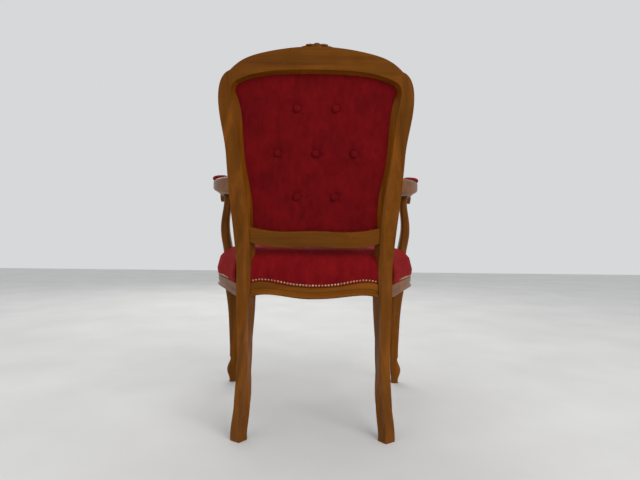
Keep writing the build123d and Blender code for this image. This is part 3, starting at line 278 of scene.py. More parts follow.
class Link:
    """An output of a shader node that takes part in sums and products."""

    def __init__(self, shader, socket):
        self.shader = shader
        self.socket = socket

    def combined(self, operation, other):
        return self.shader.node("ShaderNodeMath", {"operation": operation}, {0: self, 1: other})

    def __add__(self, other):
        return self.combined("ADD", other)

    def __mul__(self, other):
        return self.combined("MULTIPLY", other)

    __radd__ = __add__
    __rmul__ = __mul__


class Shader:
    """A material and the one way its nodes are made."""

    def __init__(self, name, **constants):
        self.material = bpy.data.materials.new(name)
        self.material.use_nodes = True
        self.tree = self.material.node_tree
        self.surface = self.tree.nodes["Principled BSDF"]
        for socket, value in constants.items():
            self.surface.inputs[socket.replace("_", " ")].default_value = value

    def node(self, kind, settings, inputs, output=0):
        """Adds a node: its settings first, then the values or links of its sockets."""
        added = self.tree.nodes.new(kind)
        for key, value in settings.items():
            if key == "stops":
                self.set_stops(added.color_ramp.elements, value)
            else:
                setattr(added, key, value)
        for socket, value in inputs.items():
            if isinstance(value, Link):
                self.tree.links.new(value.socket, added.inputs[socket])
            else:
                added.inputs[socket].default_value = value
        return Link(self, added.outputs[output])

    def set_stops(self, elements, stops):
        while len(elements) < len(stops):
            elements.new(0.5)
        for element, (place, colour) in zip(elements, stops):
            element.position = place
            element.color = colour

    def place(self):
        """The object's own coordinates, in metres."""
        return self.node("ShaderNodeTexCoord", {}, {}, "Object")

    def stretched(self, scale, turn=(0.0, 0.0, 0.0)):
        """The object's own coordinates, turned and scaled."""
        return self.node("ShaderNodeMapping", {}, {"Vector": self.place(), "Rotation": turn, "Scale": scale})

    def noise(self, vector, scale, detail=3.0, roughness=0.5, distortion=0.0):
        inputs = {"Vector": vector, "Scale": scale, "Detail": detail}
        inputs |= {"Roughness": roughness, "Distortion": distortion}
        return self.node("ShaderNodeTexNoise", {}, inputs, "Fac")

    def ramp(self, value, *stops):
        return self.node("ShaderNodeValToRGB", {"stops": stops}, {"Fac": value}, "Color")

    def tones(self, value, base, steps):
        """Darker and paler tones of one colour, each at its place in the value's range."""
        return self.ramp(value, *((place, toned(base, share)) for place, share in steps))

    def between(self, value, span, result=(0.0, 1.0)):
        """A value brought from one range to another, clamped."""
        inputs = {"Value": value, "From Min": span[0], "From Max": span[1]}
        inputs |= {"To Min": result[0], "To Max": result[1]}
        return self.node("ShaderNodeMapRange", {}, inputs)

    def mixed(self, share, first, second):
        """A colour between two colours."""
        return self.node("ShaderNodeMix", {"data_type": "RGBA"}, {0: share, 6: first, 7: second}, 2)

    def feed(self, socket, link):
        self.tree.links.new(link.socket, self.surface.inputs[socket])

    def bump(self, height, strength, distance):
        """Raises the surface by a height, over a distance in metres."""
        inputs = {"Height": height, "Strength": strength, "Distance": distance}
        self.feed("Normal", self.node("ShaderNodeBump", {}, inputs))


def toned(colour, share=1.0):
    """A colour made darker or paler, as a node takes it."""
    return tuple(min(1.0, part * share) for part in colour[:3]) + (1.0,)


# Where noise mostly lies in its range
NOISE_SPAN = (0.3, 0.7)

# Tones of the finishes, from the low to the high end of the noise that they follow
GRAIN_TONES = ((0.28, 0.52), (0.45, 0.82), (0.56, 1.08), (0.74, 1.45))
BRASS_TONES = ((0.32, 0.35), (0.5, 0.8), (0.68, 1.35))

# How fine the grain and the pores of the wood are, across them and along them
GRAIN_SCALE = (34.0, 2.2)
PORE_SCALE = (420.0, 9.0)


def drawn_out(scale, along):
    """The scale of each axis for a pattern that runs along one of them."""
    return tuple(scale[1] if axis == along else scale[0] for axis in range(3))


def waxed_wood(name, base, along, turn):
    """Old waxed wood whose grain runs along one axis, with darker and paler patches and fine pores."""
    shader = Shader(
        name,
        IOR=1.48,
        Specular_IOR_Level=0.24,
        Specular_Tint=(1.0, 0.66, 0.26, 1.0),
        Coat_Roughness=0.16,
        Coat_Tint=(1.0, 0.86, 0.62, 1.0),
    )
    grain_place = shader.stretched(drawn_out(GRAIN_SCALE, along), turn)
    grain = shader.noise(grain_place, 1.0, detail=4.0, roughness=0.55, distortion=0.9)
    pore_place = shader.stretched(drawn_out(PORE_SCALE, along), turn)
    pores = shader.noise(pore_place, 1.0, detail=2.0, roughness=0.6)
    patches = shader.noise(shader.place(), 9.0, roughness=0.6)
    wear = shader.noise(shader.place(), 31.0, detail=4.0, roughness=0.65)
    colour = shader.tones(grain, base, GRAIN_TONES)
    colour = shader.mixed(shader.between(patches, (0.35, 0.7), (0.0, 0.55)), colour, toned(base, 0.55))
    colour = shader.mixed(shader.between(pores, (0.62, 0.74), (0.0, 0.45)), colour, toned(base, 0.28))
    colour = shader.mixed(shader.between(wear, (0.62, 0.8), (0.0, 0.35)), colour, toned(base, 1.7))
    shader.feed("Base Color", colour)
    shader.feed("Roughness", shader.between(wear * 0.6 + grain * 0.4, NOISE_SPAN, (0.3, 0.52)))
    shader.feed("Coat Weight", shader.between(patches, NOISE_SPAN, (0.14, 0.03)))
    shader.bump(grain * 0.55 + pores * 0.45, strength=0.22, distance=0.0012)
    return shader.material


def pile_velvet(name, base, bright):
    """Short pile velvet: brushed patches that lean towards or away from the light, and a fine nap."""
    shader = Shader(
        name,
        Sheen_Weight=0.3,
        Sheen_Roughness=0.34,
        Sheen_Tint=(0.9, 0.07, 0.06, 1.0),
        Specular_IOR_Level=0.04,
    )
    nap = shader.noise(shader.place(), 13.0, detail=4.0, roughness=0.6, distortion=0.7)
    strokes = shader.noise(shader.stretched((70.0, 22.0, 34.0)), 1.0, roughness=0.6, distortion=0.5)
    tufts = shader.noise(shader.place(), 950.0, detail=2.0)
    brushed = shader.between(nap * 0.55 + strokes * 0.45, (0.3, 0.74))
    colour = shader.mixed(brushed, toned(base), toned(bright))
    colour = shader.mixed(shader.between(tufts, (0.3, 0.75), (0.0, 0.4)), colour, toned(base, 0.45))
    shader.feed("Base Color", colour)
    shader.feed("Roughness", shader.between(nap, NOISE_SPAN, (0.82, 0.95)))
    shader.bump(tufts * 0.6 + strokes * 0.4, strength=0.3, distance=0.0006)
    return shader.material


def aged_brass(name, base):
    """Nail heads: worn brass in uneven tones, with fine spots."""
    shader = Shader(name, Metallic=1.0)
    tarnish = shader.noise(shader.place(), 160.0, roughness=0.6)
    spots = shader.noise(shader.place(), 620.0, detail=2.0)
    shader.feed("Base Color", shader.tones(tarnish * 0.7 + spots * 0.3, base, BRASS_TONES))
    shader.feed("Roughness", shader.between(tarnish, NOISE_SPAN, (0.52, 0.26)))
    shader.bump(spots, strength=0.15, distance=0.0004)
    return shader.material


def woven_cloth(name, base, thread_scale):
    """Plain weave: crossing threads, a little uneven."""
    shader = Shader(name)
    threads = []
    for direction in ("X", "Y"):
        settings = {"wave_type": "BANDS", "bands_direction": direction}
        inputs = {"Vector": shader.place(), "Scale": thread_scale, "Distortion": 0.6}
        threads.append(shader.node("ShaderNodeTexWave", settings, inputs, "Fac"))
    uneven = shader.noise(shader.place(), 40.0)
    weave = threads[0] * threads[1]
    shade = shader.between(weave + uneven * 0.5, (0.1, 1.1))
    shader.feed("Base Color", shader.mixed(shade, toned(base, 0.55), toned(base, 1.2)))
    shader.feed("Roughness", shader.between(uneven, NOISE_SPAN, (0.85, 0.97)))
    shader.bump(weave, strength=0.4, distance=0.0006)
    return shader.material


def drawn_steel(name, base):
    """Spring wire with a dull drawn skin."""
    shader = Shader(name, Metallic=1.0)
    skin = shader.noise(shader.place(), 220.0)
    shader.feed("Base Color", shader.mixed(skin, toned(base, 0.6), toned(base, 1.15)))
    shader.feed("Roughness", shader.between(skin, NOISE_SPAN, (0.3, 0.5)))
    return shader.material


def colour_property(name, description, default):
    """A colour that a user can change."""
    return bpy.props.FloatVectorProperty(
        name=name, description=description, subtype="COLOR", size=3, default=default, min=0.0, max=1.0
    )


def length_property(name, description, default, low, high):
    """A length in metres that a user can change."""
    return bpy.props.FloatProperty(
        name=name,
        description=description,
        subtype="DISTANCE",
        unit="LENGTH",
        default=default,
        min=low,
        max=high,
    )


class ChairFinish(bpy.types.PropertyGroup):
    """Colours and softness of the chair."""

    wood: colour_property("Wood", "Colour of the waxed frame", (0.158, 0.046, 0.002))
    plain_wood: colour_property("Plain Wood", "Colour of the unfinished inner wood", (0.46, 0.31, 0.16))
    velvet: colour_property("Velvet", "Colour of the pile where it leans away", (0.1, 0.0022, 0.0036))
    velvet_bright: colour_property(
        "Brushed Velvet", "Colour of the pile where it is brushed up", (0.2, 0.006, 0.0085)
    )
    brass: colour_property("Brass", "Colour of the nail heads", (0.44, 0.31, 0.16))
    seat_crown: length_property(
        "Seat Crown", "Height of the middle of the seat above the floor before it swells", 0.487, 0.44, 0.52
    )
    back_proud: length_property(
        "Back Fullness", "How far the back pad stands in front of its frame", 0.024, 0.01, 0.04
    )


# Inner parts, which keep one colour
HESSIAN_COLOUR = (0.34, 0.24, 0.13)
LINING_COLOUR = (0.018, 0.018, 0.02)
STEEL_COLOUR = (0.42, 0.42, 0.43)

MATERIALS = {}


def material(key):
    """The finish of one kind of piece, made once."""
    finish = bpy.context.scene.chair_finish
    # The seat and arm pads take a paler copy of the velvet. This is partly painted light, standing for the
    # brighter light that falls on the seat, and partly the other run of their nap.
    seat_velvet = toned(finish.velvet, 1.25)
    seat_bright_nap_and_light = toned(finish.velvet_bright, 1.3)
    makers = {
        "wood_x": lambda: waxed_wood("waxed_wood_across", finish.wood, 0, (0.0, 0.02, 0.0)),
        "wood_y": lambda: waxed_wood("waxed_wood_along", finish.wood, 1, (0.0, 0.0, 0.2)),
        "wood_z": lambda: waxed_wood("waxed_wood_upright", finish.wood, 2, (0.16, 0.0, 0.0)),
        "plain_wood": lambda: waxed_wood("plain_wood", finish.plain_wood, 0, (0.0, 0.0, 0.1)),
        "velvet": lambda: pile_velvet("red_velvet", finish.velvet, finish.velvet_bright),
        "seat_velvet": lambda: pile_velvet("red_velvet_seat_nap_and_light", seat_velvet, seat_bright_nap_and_light),
        "brass": lambda: aged_brass("aged_brass", finish.brass),
        "hessian": lambda: woven_cloth("jute_hessian", HESSIAN_COLOUR, 420.0),
        "lining": lambda: woven_cloth("black_lining", LINING_COLOUR, 800.0),
        "steel": lambda: drawn_steel("spring_steel", STEEL_COLOUR),
    }
    if key not in MATERIALS:
        MATERIALS[key] = makers[key]()
    return MATERIALS[key]


def dress(key, *nodes):
    """Gives CAD pieces a finish and soft shading between sharp edges."""
    for name in nodes:
        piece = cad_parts[name]
        piece.data.materials.clear()
        piece.data.materials.append(material(key))
        piece.data.polygons.foreach_set("use_smooth", [True] * len(piece.data.polygons))
        piece.data.set_sharp_from_angle(angle=WOOD_EDGE)


class CHAIR_OT_frame(bpy.types.Operator):
    """Waxes the legs, stiles, rails, arms and supports, each with its own run of grain"""

    bl_idname = "chair.frame"
    bl_label = "Wooden Frame"

    def execute(self, context):
        dress("wood_x", "crest_rail", "lower_back_rail", "rear_seat_rail", "front_seat_rail")
        dress("wood_z", "rear_leg_left", "rear_leg_right", "front_leg_left", "front_leg_right")
        dress("wood_z", "arm_support_left", "arm_support_right")
        dress("wood_y", "side_seat_rail_left", "side_seat_rail_right", "arm_left", "arm_right")
        dress("wood_x", "frame_dowels")
        dress("plain_wood", "corner_brace_rear_left", "corner_brace_rear_right")
        dress("plain_wood", "corner_brace_front_left", "corner_brace_front_right")
        return {"FINISHED"}


class CHAIR_OT_carving(bpy.types.Operator):
    """Carves the flower and leaves on the crest"""

    bl_idname = "chair.carving"
    bl_label = "Crest Carving"

    # The flower: its middle up the back, radius and relief
    FLOWER_UP = 541.5
    FLOWER_RADIUS = 13.4
    FLOWER_RELIEF = 4.2
    PETALS = 6
    # The leaves of one side: middle across and up the back, half length, half width, lift in degrees
    LEAVES = (
        (22.0, 541.5, 21.0, 8.6, 2.0),
        (15.0, 548.5, 13.0, 5.0, 14.0),
        (19.0, 530.0, 17.0, 6.5, -22.0),
    )
    LEAF_RELIEF = 3.6
    # How far the carving runs into the crest, and the least that it stands out
    ROOT = 9.0
    LEAST_RELIEF = 0.05

    def execute(self, context):
        pieces = [self.flower()]
        pieces += [self.leaf(side, *leaf) for side in SIDES for leaf in self.LEAVES]
        carving = joined("crest_carving_detail", pieces)
        finished(carving, material("wood_x"), "show_wood", "crest_carving")
        return {"FINISHED"}

    def flower(self):
        """Six petals round a raised eye."""
        turns = turns_of(144)
        rings = [self.flower_ring(turns, self.FLOWER_RADIUS, np.full_like(turns, FRAME_FRONT - self.ROOT))]
        for share in np.linspace(1.0, 0.06, 22):
            radius = self.FLOWER_RADIUS * share * (1 + 0.07 * np.cos(self.PETALS * turns))
            groove = 0.9 * np.abs(np.cos(self.PETALS // 2 * turns)) * rise(0.3, 0.6, share)
            relief = self.FLOWER_RELIEF * (1 - share**4) ** 0.5 * (1 - 0.4 * bell(share - 0.36, 0.09))
            front = FRAME_FRONT + np.maximum(relief - 1.1 + groove, self.LEAST_RELIEF)
            rings.append(self.flower_ring(turns, radius, front))
        return rings_piece("flower", rings)

    def flower_ring(self, turns, radius, front):
        return on_back(radius * np.sin(turns), self.FLOWER_UP + radius * np.cos(turns), front)

    def leaf(self, side, x, up, half_length, half_width, lift):
        """A pointed leaf with a sunk midrib."""
        turns = turns_of(72)
        tilt = math.radians(lift)
        rings = []
        for share in np.linspace(1.0, 0.05, 14):
            out = half_length * share * np.cos(turns)
            over = half_width * share * np.sin(turns) * (1 - 0.35 * (np.cos(turns) + 1) / 2)
            midrib = 0.9 * bell(over, 1.5) * (1 - share)
            front = FRAME_FRONT + self.LEAF_RELIEF * math.sqrt(1 - share**3) - midrib
            across = x + out * math.cos(tilt) - over * math.sin(tilt)
            above = up + out * math.sin(tilt) * 0.4 + over * math.cos(tilt)
            rings.append(on_back(side * across, above, np.maximum(front, FRAME_FRONT + self.LEAST_RELIEF)))
        base = rings[0] - BACK_FRONT * self.ROOT
        return rings_piece("leaf", [base] + rings)


class CHAIR_OT_seat(bpy.types.Operator):
    """Upholsters the seat: crowned pad with a skirt drawn down to the nails"""

    bl_idname = "chair.seat"
    bl_label = "Seat"

    COUNT = 720
    # The skirt, from just under the nail line up to the widest place, gathered at the pitch of the nails
    SKIRT_RINGS = 12
    SKIRT_TOP = 412.0
    BELOW_NAILS = 1.0
    SKIRT_EDGE = 0.4
    SKIRT_BULGE = 3.8
    NAIL_PITCH = 8.3
    GATHER = 0.8
    # From the widest place to the crown: how far in from the rails, and the share of the rise
    PROFILE = [
        (-4.2, 0.0), (-4.4, 0.1), (-4.1, 0.2), (-3.2, 0.3), (-1.6, 0.39), (0.8, 0.47), (4.0, 0.545),
        (8.0, 0.605), (13.0, 0.66), (19.0, 0.705), (27.0, 0.75), (38.0, 0.79), (54.0, 0.835), (76.0, 0.88),
        (105.0, 0.925), (145.0, 0.965), (195.0, 0.99), (252.0, 1.0),
    ]
    CROWN_RINGS = 44
    # Rings follow the rails up to this inset; the rest of it shrinks them towards the seat's middle
    RAIL_INSET = 7.0
    SHRINK_SIZE = 264.0
    # Unevenness of the top, from the third ring above the skirt and between two heights
    UNEVEN = 1.3
    UNEVEN_SCALE = 190.0
    UNEVEN_FROM = 432
    UNEVEN_FULL = 456
    # Inside of the skirt and underside of the pad, out from the rails, and the underside's height
    SKIRT_INSIDE = -1.8
    UNDERSIDE_EDGE = -2.0
    UNDERSIDE = 422.5
    # Velvet below this height is held while the rest swells, by the cap at most
    HELD_BELOW = 424.0
    SWELL_CAP = 5.0
    # Openings on the sitter's left: middle across and along, width, depth and the lowest place cut
    LEG_OPENING = (188.3, 208.0, 40.8, 82.0, 340.0)
    SUPPORT_OPENING = (286.5, -88.5, 39.0, 47.0, 419.0)
    OPENING_TOP = 500.0
    OPENING_CORNER = 4.0

    def execute(self, context):
        loop = smooth_loop(mirrored_loop(SEAT_PLAN), self.COUNT)
        plan = loop[:, :2]
        nail_line = loop[:, 2]
        outward = self.outward(plan)
        rings = self.skirt(plan, outward, nail_line)
        rings += self.crown(plan, outward, context.scene.chair_finish.seat_crown / MM)
        for ring in rings[self.SKIRT_RINGS + 2:]:
            fullness = rise(self.UNEVEN_FROM, self.UNEVEN_FULL, ring[:, 2])
            ring[:, 2] += self.UNEVEN * ripple(ring[:, :2], self.UNEVEN_SCALE, seed=4) * fullness
        inner = self.ring(plan, outward, self.SKIRT_INSIDE, nail_line - self.BELOW_NAILS)
        under = self.ring(plan, outward, self.UNDERSIDE_EDGE, self.UNDERSIDE)
        pad = rings_piece("seat_velvet", [under, inner] + rings)
        plumped(pad, places_of(pad.data)[:, 2] / MM < self.HELD_BELOW, self.SWELL_CAP)
        self.cut(pad, *self.LEG_OPENING)
        self.cut(pad, *self.SUPPORT_OPENING)
        finished(pad, material("seat_velvet"), "velvet", "seat_pad", "seat_hem")
        return {"FINISHED"}

    def outward(self, plan):
        """Directions that point out of the seat at each step of its plan."""
        step = np.roll(plan, -1, 0) - np.roll(plan, 1, 0)
        step /= np.linalg.norm(step, axis=1)[:, None]
        outward = np.stack([-step[:, 1], step[:, 0]], 1)
        if (outward * (plan - SEAT_MIDDLE)).sum() < 0:
            outward = -outward
        return outward

    def skirt(self, plan, outward, nail_line):
        """Rings up the sides of the seat, gathered most at the bottom."""
        along = np.arange(self.COUNT) * np.linalg.norm(np.diff(plan, axis=0), axis=1).mean()
        pull = 0.5 + 0.5 * np.cos(along * FULL_TURN / self.NAIL_PITCH)
        rings = []
        for share in np.linspace(0, 1, self.SKIRT_RINGS):
            height = (nail_line - self.BELOW_NAILS) * (1 - share) + self.SKIRT_TOP * share
            bulge = self.SKIRT_EDGE + self.SKIRT_BULGE * math.sin(share * QUARTER_TURN) ** 1.1
            gather = self.GATHER * pull * math.exp(-share * 4.5)
            rings.append(self.ring(plan, outward, bulge - gather, height))
        return rings

    def crown(self, plan, outward, top):
        """Rings over the top of the seat, from the skirt to the middle."""
        rings = []
        for inset, share in resampled(np.array(self.PROFILE), self.CROWN_RINGS)[1:]:
            height = self.SKIRT_TOP + (top - self.SKIRT_TOP) * share
            ring = self.ring(plan, outward, -min(inset, self.RAIL_INSET), height)
            shrunk = 1 - max(0.0, inset - self.RAIL_INSET) / self.SHRINK_SIZE
            ring[:, :2] = SEAT_MIDDLE + (ring[:, :2] - SEAT_MIDDLE) * shrunk
            rings.append(ring)
        return rings

    def ring(self, plan, outward, spread, height):
        """The seat's plan, spread outward, at one height or at a height for each step."""
        spread = np.broadcast_to(spread, (self.COUNT,))
        return np.column_stack([plan + outward * spread[:, None], np.broadcast_to(height, (self.COUNT,))])

    def cut(self, pad, x, y, width, depth, low):
        """Cuts the openings of both sides where a leg or an arm support passes, with eased corners."""
        corner = self.OPENING_CORNER
        half = np.array((width / 2 - corner, depth / 2 - corner))
        turns = turns_of(48)
        off_axis = turns + 1e-6
        signs = np.stack([np.sign(np.cos(off_axis)), np.sign(np.sin(off_axis))], 1)
        rounded = corner * np.stack([np.cos(turns), np.sin(turns)], 1)
        levels = [np.full(len(turns), height) for height in (low, self.OPENING_TOP)]
        for side in SIDES:
            outline = np.array((side * x, y)) + signs * half + rounded
            cutter = rings_piece("notch", [np.column_stack([outline, level]) for level in levels])
            change = pad.modifiers.new("notch", "BOOLEAN")
            change.object = cutter
            change.operation = "DIFFERENCE"
            change.solver = "EXACT"
            bpy.context.view_layer.update()
            shaped = pad.evaluated_get(bpy.context.evaluated_depsgraph_get())
            shaped_mesh = bpy.data.meshes.new_from_object(shaped)
            pad.modifiers.clear()
            pad.data = shaped_mesh
            bpy.data.objects.remove(cutter)
        pad.data.polygons.foreach_set("use_smooth", [True] * len(pad.data.polygons))
        pad.data.set_sharp_from_angle(angle=VELVET_EDGE)


def opening_loop(tuck):
    """The inner edge of the back frame as an even closed line, moved out by the tuck."""
    points = []
    faces = []
    for name in ("crest_rail", "lower_back_rail", "rear_leg_left", "rear_leg_right"):
        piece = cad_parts[name]
        faces += [[len(points) + corner for corner in face.vertices] for face in piece.data.polygons]
        points += [piece.matrix_world @ vertex.co for vertex in piece.data.vertices]
    tree = BVHTree.FromPolygons(points, faces)
    start = Vector(on_back(*OPENING_MIDDLE, EDGE_DEPTH) * MM)
    turns = turns_of(4 * BACK_COUNT)
    reach = np.zeros(len(turns))
    for number, turn in enumerate(turns):
        way = Vector(np.array((math.sin(turn), 0.0, 0.0)) - math.cos(turn) * BACK_UP)
        reach[number] = (tree.ray_cast(start, way)[3] or 0.0) / MM
    found = (reach > NEAREST_EDGE) & (reach < FARTHEST_EDGE)
    reach = np.interp(turns, turns[found], reach[found], period=FULL_TURN) + tuck
    curve = OPENING_MIDDLE + reach[:, None] * np.stack([np.sin(turns), -np.cos(turns)], 1)
    return even_loop(curve, BACK_COUNT)


def closing_rings(loop):
    """Rings of places across and up the back, from its edge to its middle, each with how far in it is."""
    for share in np.linspace(0, 1, BACK_RINGS):
        inner = 1 - BACK_CLOSING * share
        yield OPENING_MIDDLE + (loop - OPENING_MIDDLE) * inner, (1 - inner) * BACK_HALF_SIZE


def near_button(x, up):
    """Distance from each point to its nearest button."""
    return np.min([np.hypot(x - across, up - height) for across, height in BUTTONS], axis=0)


def fold_depth(x, up, width):
    """How deep the folds between neighbouring buttons of two rows are, from 0 to 1."""
    depth = np.zeros_like(x)
    for first, second in combinations(np.array(BUTTONS), 2):
        step = second - first
        span = np.linalg.norm(step)
        one_row = abs(step[1]) < 1.0
        if span > LONGEST_FOLD or one_row:
            continue
        share = np.clip(((x - first[0]) * step[0] + (up - first[1]) * step[1]) / span**2, 0, 1)
        away = np.hypot(x - first[0] - share * step[0], up - first[1] - share * step[1])
        dip = 1 - 0.45 * np.sin(share * math.pi)
        depth = np.maximum(depth, bell(away, width) * dip)
    return depth


class CHAIR_OT_back_front(bpy.types.Operator):
    """Upholsters the front of the back: a deep pad buttoned in diamonds"""

    bl_idname = "chair.back_front"
    bl_label = "Back Pad"

    TUCK = -0.3
    # How far the inner side of the edge lies in front of the plane, and its outer side in front of the frame
    INNER_EDGE = 9.5
    NAILED_EDGE = 1.6
    # The swell starts this far in from the edge and is full after this width
    SWELL_START = 10.0
    SWELL_WIDTH = 84.0
    # Tufts, folds and unevenness come in between these distances from the edge
    SOFT_FROM = 9.0
    SOFT_FULL = 45.0
    TUFT_DEPTH = 9.0
    TUFT_WIDTH = 17.0
    DIMPLE_SHARE = 0.6
    DIMPLE_WIDTH = 7.0
    DEEPEST_SHARE = 1.35
    FOLD_DEPTH = 5.0
    FOLD_WIDTH = 6.5
    UNEVEN = 0.5
    UNEVEN_SCALE = 120.0
    # Velvet that doesn't swell: the edge, and round each button
    HELD_EDGE = 12.0
    HELD_BUTTON = 9.0
    SWELL_CAP = 4.0

    def execute(self, context):
        proud = context.scene.chair_finish.back_proud / MM
        loop = opening_loop(self.TUCK)
        rings = [on_back(*loop.T, self.INNER_EDGE)]
        edges = [0.0]
        for points, edge in closing_rings(loop):
            x, up = points.T
            full = np.sin(np.clip((edge - self.SWELL_START) / self.SWELL_WIDTH, 0, 1) * QUARTER_TURN) ** 0.8
            height = FRAME_FRONT + self.NAILED_EDGE + (proud - self.NAILED_EDGE) * full
            soft = rise(self.SOFT_FROM, self.SOFT_FULL, edge)
            away = near_button(x, up)
            tuft = bell(away, self.TUFT_WIDTH) + self.DIMPLE_SHARE * bell(away, self.DIMPLE_WIDTH)
            tuft = self.TUFT_DEPTH * np.minimum(tuft, self.DEEPEST_SHARE)
            folds = self.FOLD_DEPTH * fold_depth(x, up, self.FOLD_WIDTH)
            uneven = self.UNEVEN * ripple(points, self.UNEVEN_SCALE, seed=8)
            rings.append(on_back(x, up, height - soft * (tuft + folds - uneven)))
            edges.append(edge)
        pad = rings_piece("back_velvet_front", rings)
        edge = np.concatenate([np.repeat(edges, BACK_COUNT), [edges[0], edges[-1]]])
        points = places_of(pad.data) / MM - BACK_FOOT
        held = (edge < self.HELD_EDGE) | (near_button(points[:, 0], points @ BACK_UP) < self.HELD_BUTTON)
        plumped(pad, held, self.SWELL_CAP)
        finished(pad, material("velvet"), "velvet", "back_front_pad")
        return {"FINISHED"}


class CHAIR_OT_back_rear(bpy.types.Operator):
    """Covers the rear of the back: a thin stuffed panel drawn in at its buttons"""

    bl_idname = "chair.back_rear"
    bl_label = "Rear Cover"

    TUCK = 1.6
    # How far the inside and the outside of the edge lie in front of the plane of the back
    INSIDE = 5.8
    OUTSIDE = 1.5
    CROWN = 5.4
    CROWN_WIDTH = 70.0
    # Tufts, folds, creases and unevenness come in between these distances from the edge
    SOFT_FROM = 2.0
    SOFT_FULL = 30.0
    TUFT_DEPTH = 3.4
    TUFT_WIDTH = 17.0
    DIMPLE_DEPTH = 1.6
    DIMPLE_WIDTH = 10.5
    DEEPEST_TUFT = 4.6
    FOLD_DEPTH = 0.9
    FOLD_WIDTH = 9.0
    UNEVEN = 0.55
    UNEVEN_SCALE = 90.0
    # Creases round a button: depth, count, distance from the button and width
    CREASE_DEPTH = 0.8
    CREASES = 5
    CREASE_AWAY = 17.0
    CREASE_WIDTH = 9.0

    def execute(self, context):
        loop = opening_loop(self.TUCK)
        rings = [on_back(*loop.T, self.INSIDE)]
        for points, edge in closing_rings(loop):
            x, up = points.T
            crown = self.CROWN * math.sin(min(1.0, edge / self.CROWN_WIDTH) * QUARTER_TURN) ** 0.9
            soft = rise(self.SOFT_FROM, self.SOFT_FULL, edge)
            away = near_button(x, up)
            tuft = self.TUFT_DEPTH * bell(away, self.TUFT_WIDTH)
            tuft += self.DIMPLE_DEPTH * bell(away, self.DIMPLE_WIDTH)
            tuft = np.minimum(tuft, self.DEEPEST_TUFT)
            folds = self.FOLD_DEPTH * fold_depth(x, up, self.FOLD_WIDTH)
            uneven = self.UNEVEN * ripple(points, self.UNEVEN_SCALE, seed=21)
            drawn_in = soft * (tuft + folds + uneven + self.creases(x, up))
            rings.append(on_back(x, up, self.OUTSIDE - crown + drawn_in))
        cover = rings_piece("back_velvet_rear", rings)
        finished(cover, material("velvet"), "velvet", "back_rear_cover")
        return {"FINISHED"}

    def creases(self, x, up):
        """Short creases that run out from each button."""
        total = np.zeros_like(x)
        for number, (across, height) in enumerate(BUTTONS):
            away = np.hypot(x - across, up - height)
            wave = np.cos(np.arctan2(up - height, x - across) * self.CREASES + number * 1.7)
            total += self.CREASE_DEPTH * wave * bell(away - self.CREASE_AWAY, self.CREASE_WIDTH)
        return total


class CHAIR_OT_buttons(bpy.types.Operator):
    """Covers the buttons on both sides of the back in velvet"""

    bl_idname = "chair.buttons"
    bl_label = "Buttons"

    RADIUS = 9.6
    HEIGHT = 6.0
    PLEATS = 9
    PLEAT_DEPTH = 0.025
    # Where the buttons of each side sit, forward from the plane of the back
    FRONT_SEAT = 31.2
    REAR_SEAT = -1.3

    def execute(self, context):
        self.buttons("back_buttons_front_velvet", "back_buttons_front", self.FRONT_SEAT, 1.0)
        self.buttons("back_buttons_rear_velvet", "back_buttons_rear", self.REAR_SEAT, -1.0)
        return {"FINISHED"}

    def buttons(self, name, node, seat, way):
        """The pleated domes of one side, which point forward or to the rear."""
        turns = turns_of(40)
        pieces = []
        for number, (x, up) in enumerate(BUTTONS):
            rings = []
            for share in np.linspace(-0.25, 1, 14):
                pleat = 1 + self.PLEAT_DEPTH * np.cos(turns * self.PLEATS + number) * (1 - abs(share))
                radius = self.RADIUS * math.cos(max(share, -0.2) * QUARTER_TURN) ** 0.55 * pleat
                front = seat + way * self.HEIGHT * math.sin(share * QUARTER_TURN)
                rings.append(on_back(x + radius * np.cos(turns), up + radius * np.sin(turns), front))
            pieces.append(rings_piece("button", rings))
        buttons = joined(name, pieces)
        finished(buttons, material("velvet"), "velvet", node)


